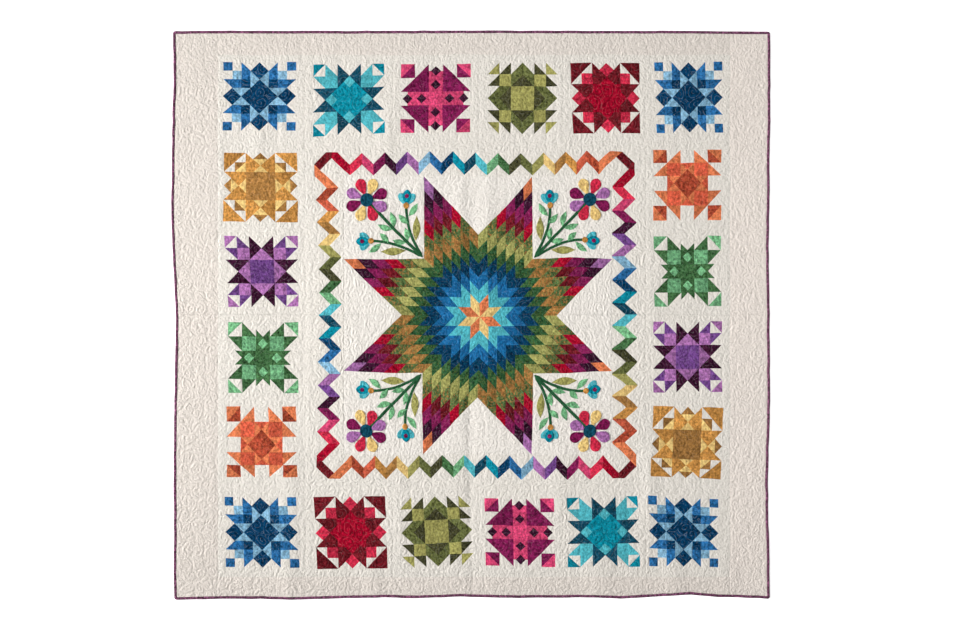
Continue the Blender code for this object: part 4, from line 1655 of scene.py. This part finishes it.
@dataclass
class OuterBorder:
    """Plain borders outside the blocks.

    Args:
        binding_width: Width of the binding that covers their outer edge.
        side_lines, end_lines: Grid lines to the right and up a border.
        side_flat, end_flat: Size of its flat cloth in metres.
    """

    binding_width: float = 0.0099
    side_lines: tuple[int, int] = (44, 558)
    side_flat: Two = (0.150, 2.00)
    end_lines: tuple[int, int] = (510, 22)
    end_flat: Two = (1.82, 0.075)

    def build(self) -> list[Piece]:
        """Make the four borders.

        Returns:
            The pieces.
        """
        sides, ends = (self.side_lines, self.side_flat), (self.end_lines, self.end_flat)
        borders = (
            ("w", "beige", self.side_locate(1), sides),
            # The east border takes the beige painted lighter, to offset the shade on the right side
            ("e", "beige_painted_lighter", self.side_locate(2), sides),
            ("s", "beige", self.end_locate(1), ends),
            ("n", "beige", self.end_locate(2), ends),
        )
        pieces = []
        for side, cloth, locate, (counts, flat) in borders:
            us, vs = (np.linspace(0.0, 1.0, count) for count in counts)
            unit = SewnUnit(f"border_{side}", "beige_border", us, vs, locate, plain(cloth), flat)
            pieces.append(unit.build())
        return pieces

    def side_locate(self, edge: int) -> Locate:
        """Return the placing function of a tall border at the left or right.

        Args:
            edge: Column of the edge table: 1 left, 2 right.

        Returns:
            A function of the shares from the outer edge in and up the border.
        """
        inward = 1.0 if edge == 1 else -1.0
        seam = PLAN.read(PLAN.columns, -inward * PLAN.core_half)

        def locate(a: Array, b: Array) -> Pair:
            """Place shares of the border in metres."""
            outer = np.asarray(PLAN.side_edges)[:, edge].mean()
            x = outer + (seam - outer) * a
            low = PLAN.read(PLAN.end_edges, x, 1) + self.binding_width
            high = PLAN.read(PLAN.end_edges, x, 2) - self.binding_width
            y = low + (high - low) * b
            outer = PLAN.read(PLAN.side_edges, y, edge) + inward * self.binding_width
            return PLAN.settle(outer + (seam - outer) * a, y)

        return locate

    def end_locate(self, edge: int) -> Locate:
        """Return the placing function of the bottom or top border.

        Args:
            edge: Column of the edge table: 1 bottom, 2 top.

        Returns:
            A function of the shares along the border and from its edge in.
        """
        inward = 1.0 if edge == 1 else -1.0
        seam = PLAN.read(PLAN.rows, -inward * PLAN.core_half)
        left, right = PLAN.read(PLAN.columns, np.array([-PLAN.core_half, PLAN.core_half]))

        def locate(a: Array, b: Array) -> Pair:
            """Place shares of the border in metres."""
            x = left + (right - left) * a
            outer = PLAN.read(PLAN.end_edges, x, edge) + inward * self.binding_width
            return PLAN.settle(x, outer + (seam - outer) * b)

        return locate


@dataclass
class Binding:
    """Narrow rolled binding round the edge, mitred at the corners.

    Args:
        width: Its width on the face in metres.
        flat_width: Width of its flat strip; not used.
        lengths: Length of the strips at the sides and at the ends.
        section: Its section from the outer edge in: share of the width and
            height in metres.
        step: Distance between its rings of points.
        corner_rings: Rings in the square at each corner.
        pucker: Height of its even puckers, as a share, and radians a metre.
        swell: Height of its uneven swells, as a share, their length in
            metres, and the squeeze of the field that they are read from.
    """

    width: float = 0.0099
    flat_width: float = 0.014
    lengths: Two = (2.02, 2.12)
    section: Table = (
        (0.1, 0.0), (0.0, 0.0012), (0.0, 0.003), (0.07, 0.0047), (0.22, 0.006), (0.45, 0.0065),
        (0.68, 0.0063), (0.88, 0.0056), (0.985, 0.0044), (0.99, 0.0),
    )
    step: float = 0.005
    corner_rings: int = 6
    pucker: Two = (0.07, 420.0)
    swell: tuple[float, float, float] = (0.05, 0.021, 0.3)

    def build(self) -> list[Piece]:
        """Make the four strips."""
        return [self.build_strip(edge, side) for edge, side in ((1, "w"), (2, "e"), (3, "s"), (4, "n"))]

    def line(self, edge: int, share: Array, depth: Array) -> Pair:
        """Follow one edge of the blanket at a depth inside it.

        Args:
            edge: 1 left, 2 right, 3 bottom, 4 top.
            share: 0 to 1 along the edge.
            depth: Metres inside the edge; both ends are cut back by it.

        Returns:
            x and y in metres. In the square at each corner, as wide as the
            binding, points are drawn in to a quarter circle.
        """
        upright = edge <= 2
        own, other = (PLAN.side_edges, PLAN.end_edges) if upright else (PLAN.end_edges, PLAN.side_edges)
        column = edge if upright else edge - 2
        inward = 1.0 if column == 1 else -1.0
        own_ends = np.asarray(own)[[0, -1], column]
        low, high = PLAN.read(other, own_ends[0], 1), PLAN.read(other, own_ends[1], 2)
        along = low + depth + (high - low - 2.0 * depth) * share
        beside = np.minimum(along - low, high - along)
        inner, outer = np.maximum(self.width - depth, 0.0), np.maximum(self.width - beside, 0.0)
        squeeze = 1.0 - np.maximum(inner, outer) / np.maximum(np.hypot(inner, outer), 1e-9)
        squeeze = np.where(np.minimum(inner, outer) > 0.0, squeeze, 0.0)
        along = along + np.where(share < 0.5, 1.0, -1.0) * outer * squeeze
        across = PLAN.read(own, along, column) + inward * (depth + inner * squeeze)
        return PLAN.settle(across, along) if upright else PLAN.settle(along, across)

    def build_strip(self, edge: int, side: str) -> Piece:
        """Make one strip.

        Args:
            edge: 1 left, 2 right, 3 bottom, 4 top.
            side: Its side.

        Returns:
            The piece: rings of the section, set across the edge's line, with
            puckers as a sine of the distance and swells as an uneven field
            of it, closed by its two ends.
        """
        length = self.lengths[1 if edge > 2 else 0]
        start = np.arange(self.corner_rings) * self.width / self.corner_rings / length
        middle = np.linspace(start[-1] + start[1], 1.0 - start[-1] - start[1], int(length / self.step))
        shares = np.concatenate((start, middle, 1.0 - start[::-1]))
        rings = len(shares)
        profile = np.asarray(self.section)
        share, ring = np.meshgrid(shares, np.arange(len(profile)), indexing="ij")
        x, y = self.line(edge, share.ravel(), (profile[ring, 0] * self.width).ravel())
        run = share.ravel() * length
        (pucker, turns), (swell, cell, squeeze) = self.pucker, self.swell
        lump = 1.0 + pucker * np.sin(run * turns + edge)
        lump = lump + swell * drift(run, run * squeeze, cell, Seed.BINDING + edge)
        points = np.stack((x, y, profile[ring, 1].ravel() * lump), axis=1)
        size = len(profile)
        i, j = np.meshgrid(np.arange(rings - 1), np.arange(size), indexing="ij")
        near, far = i * size + j, (i + 1) * size + j
        near_next, far_next = i * size + (j + 1) % size, (i + 1) * size + (j + 1) % size
        quads = np.stack((near, far, far_next, near_next), axis=-1).reshape(-1, 4)
        caps = [list(range(size)), list(range((rings - 1) * size, rings * size))[::-1]]
        name = f"binding_{side}"
        mesh = bpy.data.meshes.new(name)
        mesh.from_pydata(points.tolist(), [], quads.tolist() + caps)
        mesh.materials.append(MATERIALS.get(CLOTH["binding_plum"]))
        if not self.faces_out(mesh):
            mesh.flip_normals()
        mesh.shade_smooth()
        mark_unquilted(mesh)
        piece = add_object(name, mesh)
        finish_piece(piece, name)
        LOG.info("%s: %d faces", name, len(mesh.polygons))
        return piece

    @staticmethod
    def faces_out(mesh: bpy.types.Mesh) -> bool:
        """Tell whether a closed mesh's faces point outwards.

        Args:
            mesh: The mesh.

        Returns:
            True if the sum of its faces' signed volumes is positive.
        """
        count = len(mesh.polygons)
        centres, normals, areas = np.empty(count * 3), np.empty(count * 3), np.empty(count)
        mesh.polygons.foreach_get("center", centres)
        mesh.polygons.foreach_get("normal", normals)
        mesh.polygons.foreach_get("area", areas)
        heights = (centres.reshape(-1, 3) * normals.reshape(-1, 3)).sum(axis=1)
        return float((heights * areas).sum()) > 0.0


@dataclass(frozen=True)
class Motif:
    """One sewn-on cloth shape.

    Args:
        form: Its outline.
        cloth: Name of its cotton.
        start: Distance up the stem and to its left, in metres.
        end: The other end of its middle line.
        width: Its greatest width.
        bow: How far its middle line bows to the left.
        rise: Extra height over the shapes below it.
    """

    form: MotifForm
    cloth: str
    start: Two
    end: Two
    width: float
    bow: float = 0.0
    rise: float = 0.0

    def mirrored(self) -> "Motif":
        """Return the same shape on the other side of the stem."""
        start, end = (self.start[0], -self.start[1]), (self.end[0], -self.end[1])
        return Motif(self.form, self.cloth, start, end, self.width, -self.bow, self.rise)


# One side stem of a posy, with its leaves and its bud, from the lowest up
SIDE_STEM: tuple[Motif, ...] = (
    Motif(MotifForm.STEM, "leaf_green", (0.014, 0.003), (0.174, 0.086), 0.0095, -0.014),
    Motif(MotifForm.LEAF, "olive", (0.066, 0.023), (0.125, 0.088), 0.027, 0.002),
    Motif(MotifForm.LEAF, "mint", (0.144, 0.066), (0.152, 0.120), 0.021, 0.003),
    Motif(MotifForm.LEAF, "mint", (0.124, 0.050), (0.172, 0.046), 0.021, -0.003),
    Motif(MotifForm.LEAF, "mint", (0.085, 0.003), (0.124, 0.031), 0.020, 0.003),
    Motif(MotifForm.LEAF, "mint", (0.150, 0.003), (0.198, 0.031), 0.021, 0.004),
    Motif(MotifForm.BUD, "aqua", (0.174, 0.086), (0.179, 0.134), 0.030, -0.004),
    Motif(MotifForm.BUD, "aqua", (0.174, 0.086), (0.220, 0.096), 0.030, 0.004),
    Motif(MotifForm.BUD, "teal", (0.176, 0.088), (0.209, 0.126), 0.031, 0.0, 0.0007),
    Motif(MotifForm.ROUND, "plum", (0.190, 0.104), (0.200, 0.115), 0.014, 0.0, 0.0014),
    Motif(MotifForm.ROUND, "gold", (0.167, 0.078), (0.181, 0.094), 0.020, 0.0, 0.0014),
)


@dataclass
class FlowerSpray:
    """A plain posy of sewn-on cloth shapes on a corner square.

    Args:
        corner: The corner of the star that it fills.
        flower: Place of the flower's middle up the stem.
        disc: Radius of the flower's middle.
        petal_root, petal_reach, petal_width: Radius where the petals start
            and where they end, and their greatest width.
        petals: Cottons of the petals in turn.
        lift: Gap between the posy and the quilt's face.
        layer: Rise of a shape over the one below it.
        thickness, edge_share: Thickness of the cloth, and its share at an edge.
        least_half, tip: Least half width of a shape, and the share of its
            length that is cut off at each tip.
        cell: Size of a grid cell.
        flat, flat_area: Size and greatest area of the flat cloth; not used.
    """

    corner: Corner
    flower: float = 0.283
    disc: float = 0.023
    petal_root: float = 0.012
    petal_reach: float = 0.076
    petal_width: float = 0.038
    petals: tuple[str, ...] = ("scarlet", "straw", "plum", "lilac") * 2
    lift: float = 0.0004
    layer: float = 0.0007
    thickness: float = 0.0008
    edge_share: float = 0.45
    least_half: float = 0.0003
    tip: float = 0.004
    cell: float = 0.0025
    flat: Two = (0.20, 0.20)
    flat_area: float = 0.04

    def motifs(self) -> list[Motif]:
        """List the posy's shapes from the lowest up.

        Returns:
            Both side stems, the middle stem from the notch, then petals at
            even angles round the flower's middle.
        """
        shapes = [*SIDE_STEM, *(motif.mirrored() for motif in SIDE_STEM)]
        top = (self.flower, 0.0)
        shapes.append(Motif(MotifForm.STEM, "leaf_green", (0.006, 0.0), top, 0.0105, rise=0.0005))
        for number, cloth in enumerate(self.petals):
            angle = 2.0 * math.pi * (number + 0.5) / len(self.petals)
            near, far = (
                (self.flower + radius * math.cos(angle), radius * math.sin(angle))
                for radius in (self.petal_root, self.petal_reach)
            )
            rise = self.layer + self.layer * (number % 2)
            shapes.append(Motif(MotifForm.PETAL, cloth, near, far, self.petal_width, rise=rise))
        ends = (self.flower - self.disc, 0.0), (self.flower + self.disc, 0.0)
        shapes.append(Motif(MotifForm.ROUND, "deep_teal", *ends, 2.0 * self.disc, rise=0.0022))
        return shapes

    @staticmethod
    def breadth(form: MotifForm, share: Array) -> Array:
        """Width of a shape along its length, as a share of its greatest.

        Args:
            form: Its outline.
            share: 0 to 1 along the middle line.

        Returns:
            A power of a sine for a leaf, skewed for a petal or bud, a half
            circle's height for a round, nearly even for a stem.
        """
        stem_ends, leaf_power, petal_power = 8.0, 1.1, 0.62
        turn = np.sin(math.pi * np.clip(share, 0.0, 1.0))
        if form is MotifForm.STEM:
            return np.clip(turn * stem_ends, 0.0, 1.0) ** 0.5
        if form is MotifForm.LEAF:
            return turn**leaf_power
        if form is MotifForm.ROUND:
            return np.sqrt(np.clip(1.0 - (2.0 * share - 1.0) ** 2, 0.0, 1.0))
        skew = 1.9 if form is MotifForm.PETAL else 1.3
        return np.sin(math.pi * np.clip(share, 0.0, 1.0) ** skew) ** petal_power

    def build(self) -> Piece:
        """Make the spray as one piece.

        Returns:
            The piece, its shapes joined in one mesh.
        """
        shapes = [self.shape(motif) for motif in self.motifs()]
        starts = np.cumsum([0] + [len(points) for points, _, _ in shapes])
        points = np.concatenate([shape[0] for shape in shapes])
        quads = np.concatenate([shape[1] + start for shape, start in zip(shapes, starts)])
        cloth = np.concatenate([shape[2] for shape in shapes])
        name = f"flower_spray_{self.corner.name.lower()}"
        mesh = bpy.data.meshes.new(name)
        mesh.from_pydata(points.tolist(), [], quads.tolist())
        mesh.polygons.foreach_set("material_index", add_cottons(mesh, cloth).astype(np.int32))
        mesh.shade_smooth()
        mark_unquilted(mesh)
        piece = add_object(name, mesh)
        finish_piece(piece, name)
        areas = np.empty(len(mesh.polygons))
        mesh.polygons.foreach_get("area", areas)
        return piece

    def shape(self, motif: Motif) -> tuple[Array, Array, Array]:
        """Make one shape as a thin closed cloth on the quilted face.

        Args:
            motif: The shape.

        Returns:
            Points, quads and the cotton of each quad. The middle line is a
            parabola from end to end; points spread to both sides of it by
            the form's breadth, the upper ones a little higher in the middle.
        """
        start, end = np.array(motif.start), np.array(motif.end)
        length = float(np.hypot(*(end - start)))
        rows, columns = max(8, int(length / self.cell)) + 1, max(4, int(motif.width / self.cell)) + 1
        shares, sides = np.linspace(self.tip, 1.0 - self.tip, rows), np.linspace(-1.0, 1.0, columns)
        share, side = np.meshgrid(shares, sides, indexing="ij")
        ahead = (end - start) / length
        left = np.array([-ahead[1], ahead[0]])
        bow = motif.bow * 4.0 * share * (1.0 - share)
        half = np.maximum(0.5 * motif.width * self.breadth(motif.form, share), self.least_half)
        offset = bow + half * side
        up_stem = start[0] + ahead[0] * share * length + left[0] * offset
        beside = start[1] + ahead[1] * share * length + left[1] * offset
        x, y = self.place(up_stem.ravel(), beside.ravel())
        ground, _ = SURFACE.height(x, y)
        edge = np.clip(1.0 - np.abs(side.ravel()) ** 4, 0.0, 1.0)
        low = ground + self.lift + motif.rise
        high = low + self.thickness * (self.edge_share + (1.0 - self.edge_share) * edge)
        points = np.concatenate((np.stack((x, y, high), 1), np.stack((x, y, low), 1)))
        i, j = np.meshgrid(np.arange(rows - 1), np.arange(columns - 1), indexing="ij")
        a, b = (i * columns + j).ravel(), ((i + 1) * columns + j).ravel()
        top = np.stack((a, b, b + 1, a + 1), axis=1)
        first, second = np.arange(rows) * columns, np.arange(columns)
        far, back = first[-1] + second[1:], first[-2::-1] + columns - 1
        rim = np.concatenate((first, far, back, second[-2:0:-1]))
        if self.flipped:
            top, rim = top[:, ::-1], rim[::-1]
        bottom = top[:, ::-1] + len(x)
        following = np.roll(rim, -1)
        walls = np.stack((rim, rim + len(x), following + len(x), following), axis=1)
        quads = np.concatenate((top, bottom, walls))
        return points, quads, np.full(len(quads), CLOTH[motif.cloth])

    @property
    def flipped(self) -> bool:
        """True where the corner's signs turn shapes over."""
        return math.prod(self.corner.value) < 0

    def place(self, up_stem: Array, beside: Array) -> Pair:
        """Place a point of the spray on the face.

        Args:
            up_stem: Metres up the stem from the star's notch.
            beside: Metres to the stem's side.

        Returns:
            x and y in metres.
        """
        right, up = self.corner.value
        notch = PLAN.star_edge * HALF_ROOT
        metre = 1.0 / INCH
        u = notch + (up_stem - beside) * HALF_ROOT * metre
        v = notch + (up_stem + beside) * HALF_ROOT * metre
        return PLAN.star_place(right * u, up * v)


@dataclass(frozen=True)
class Lamp:
    """A light.

    Args:
        name: Its name.
        kind: Its kind.
        place: Where it stands.
        energy: Its power in watts, or watts a square metre for a sun.
        settings: What else its kind has, by name, in radians or metres.
        aimed: Whether it is turned to the blanket's middle, or straight down.
    """

    name: str
    kind: LampKind
    place: tuple[float, float, float]
    energy: float
    settings: tuple[tuple[str, float], ...]
    aimed: bool = True

    def build(self) -> None:
        """Put the light into the scene."""
        data = bpy.data.lights.new(self.name, self.kind.value)
        data.energy = self.energy
        for name, value in self.settings:
            setattr(data, name, value)
        light = add_object(self.name, data)
        light.location = self.place
        if self.aimed:
            x, y, z = self.place
            light.rotation_euler = (0.0, math.atan2(math.hypot(x, y), z), math.atan2(y, x))


@dataclass
class Studio:
    """Pale floor, soft light and the camera.

    Args:
        view_width: Width of the floor in the image, in metres.
        lens: Focal length in millimetres.
        sensor: Width of the camera's sensor in millimetres.
        aim: Middle of the image on the floor.
        floor_size, floor_drop: Side of the floor, and its depth below z = 0.
        surround: Brightness of the even white surroundings.
        lamps: A window's even light from the left, a weak one that aims at
            the middle, and a broad one from above, brightest on the middle.
    """

    view_width: float = 3.415
    lens: float = 100.0
    sensor: float = 36.0
    aim: Two = (0.0321, -0.0193)
    floor_size: float = 24.0
    floor_drop: float = 0.0004
    surround: float = 0.225
    lamps: tuple[Lamp, ...] = (
        Lamp("window", LampKind.SUN, (-4.0, 0.6, 2.5), 2.30, (("angle", 0.40),)),
        Lamp("key", LampKind.AREA, (-3.2, 0.20, 1.92), 72.0, (("size", 1.4),)),
        Lamp(
            "overhead", LampKind.SPOT, (0.40, 0.16, 9.8), 920.0,
            (("spot_size", math.radians(23.7)), ("spot_blend", 1.0), ("shadow_soft_size", 0.6)), aimed=False,
        ),
    )

    def build(self) -> None:
        """Make the floor, lights, world and camera."""
        self.build_floor()
        for lamp in self.lamps:
            lamp.build()
        self.build_world()
        self.build_camera()
        bpy.context.scene.view_settings.view_transform = "Standard"

    def build_floor(self) -> None:
        """Make the floor just under the blanket."""
        half = self.floor_size / 2.0
        mesh = bpy.data.meshes.new("floor")
        corners = [(-half, -half, 0.0), (half, -half, 0.0), (half, half, 0.0), (-half, half, 0.0)]
        mesh.from_pydata(corners, [], [(0, 1, 2, 3)])
        material = bpy.data.materials.new("floor_white")
        material.use_nodes = True
        shader = material.node_tree.nodes["Principled BSDF"]
        finish = {
            "Base Color": (0.97, 0.97, 0.97, 1.0), "Roughness": 1.0, "Specular IOR Level": 0.0,
            "Emission Color": (1.0, 1.0, 1.0, 1.0), "Emission Strength": 0.6,
        }
        for name, value in finish.items():
            shader.inputs[name].default_value = value
        mesh.materials.append(material)
        floor = add_object("floor", mesh)
        floor.location = (0.0, 0.0, -self.floor_drop)

    def build_world(self) -> None:
        """Make the even white surroundings."""
        world = bpy.data.worlds.new("surroundings")
        world.use_nodes = True
        background = world.node_tree.nodes["Background"]
        background.inputs["Color"].default_value = (1.0, 1.0, 1.0, 1.0)
        background.inputs["Strength"].default_value = self.surround
        bpy.context.scene.world = world

    def build_camera(self) -> None:
        """Make the camera, looking straight down."""
        data = bpy.data.cameras.new("camera")
        data.lens = self.lens
        data.sensor_width = self.sensor
        camera = add_object("camera", data)
        camera.location = (*self.aim, self.view_width * self.lens / self.sensor)
        bpy.context.scene.camera = camera


def corners(low_high: tuple) -> list[list[float]]:
    return [[float(value) for value in corner] for corner in low_high]


def main() -> None:
    """Dress the blanket, light it and finish."""
    logging.basicConfig(level=logging.INFO, format="%(message)s")
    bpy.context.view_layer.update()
    Studio().build()
    BlockRing().build()
    CentreStar().build()
    ZigzagFrame().build()
    OuterBorder().build()
    Binding().build()
    for corner in Corner:
        FlowerSpray(corner).build()


if __name__ == "__main__":
    main()
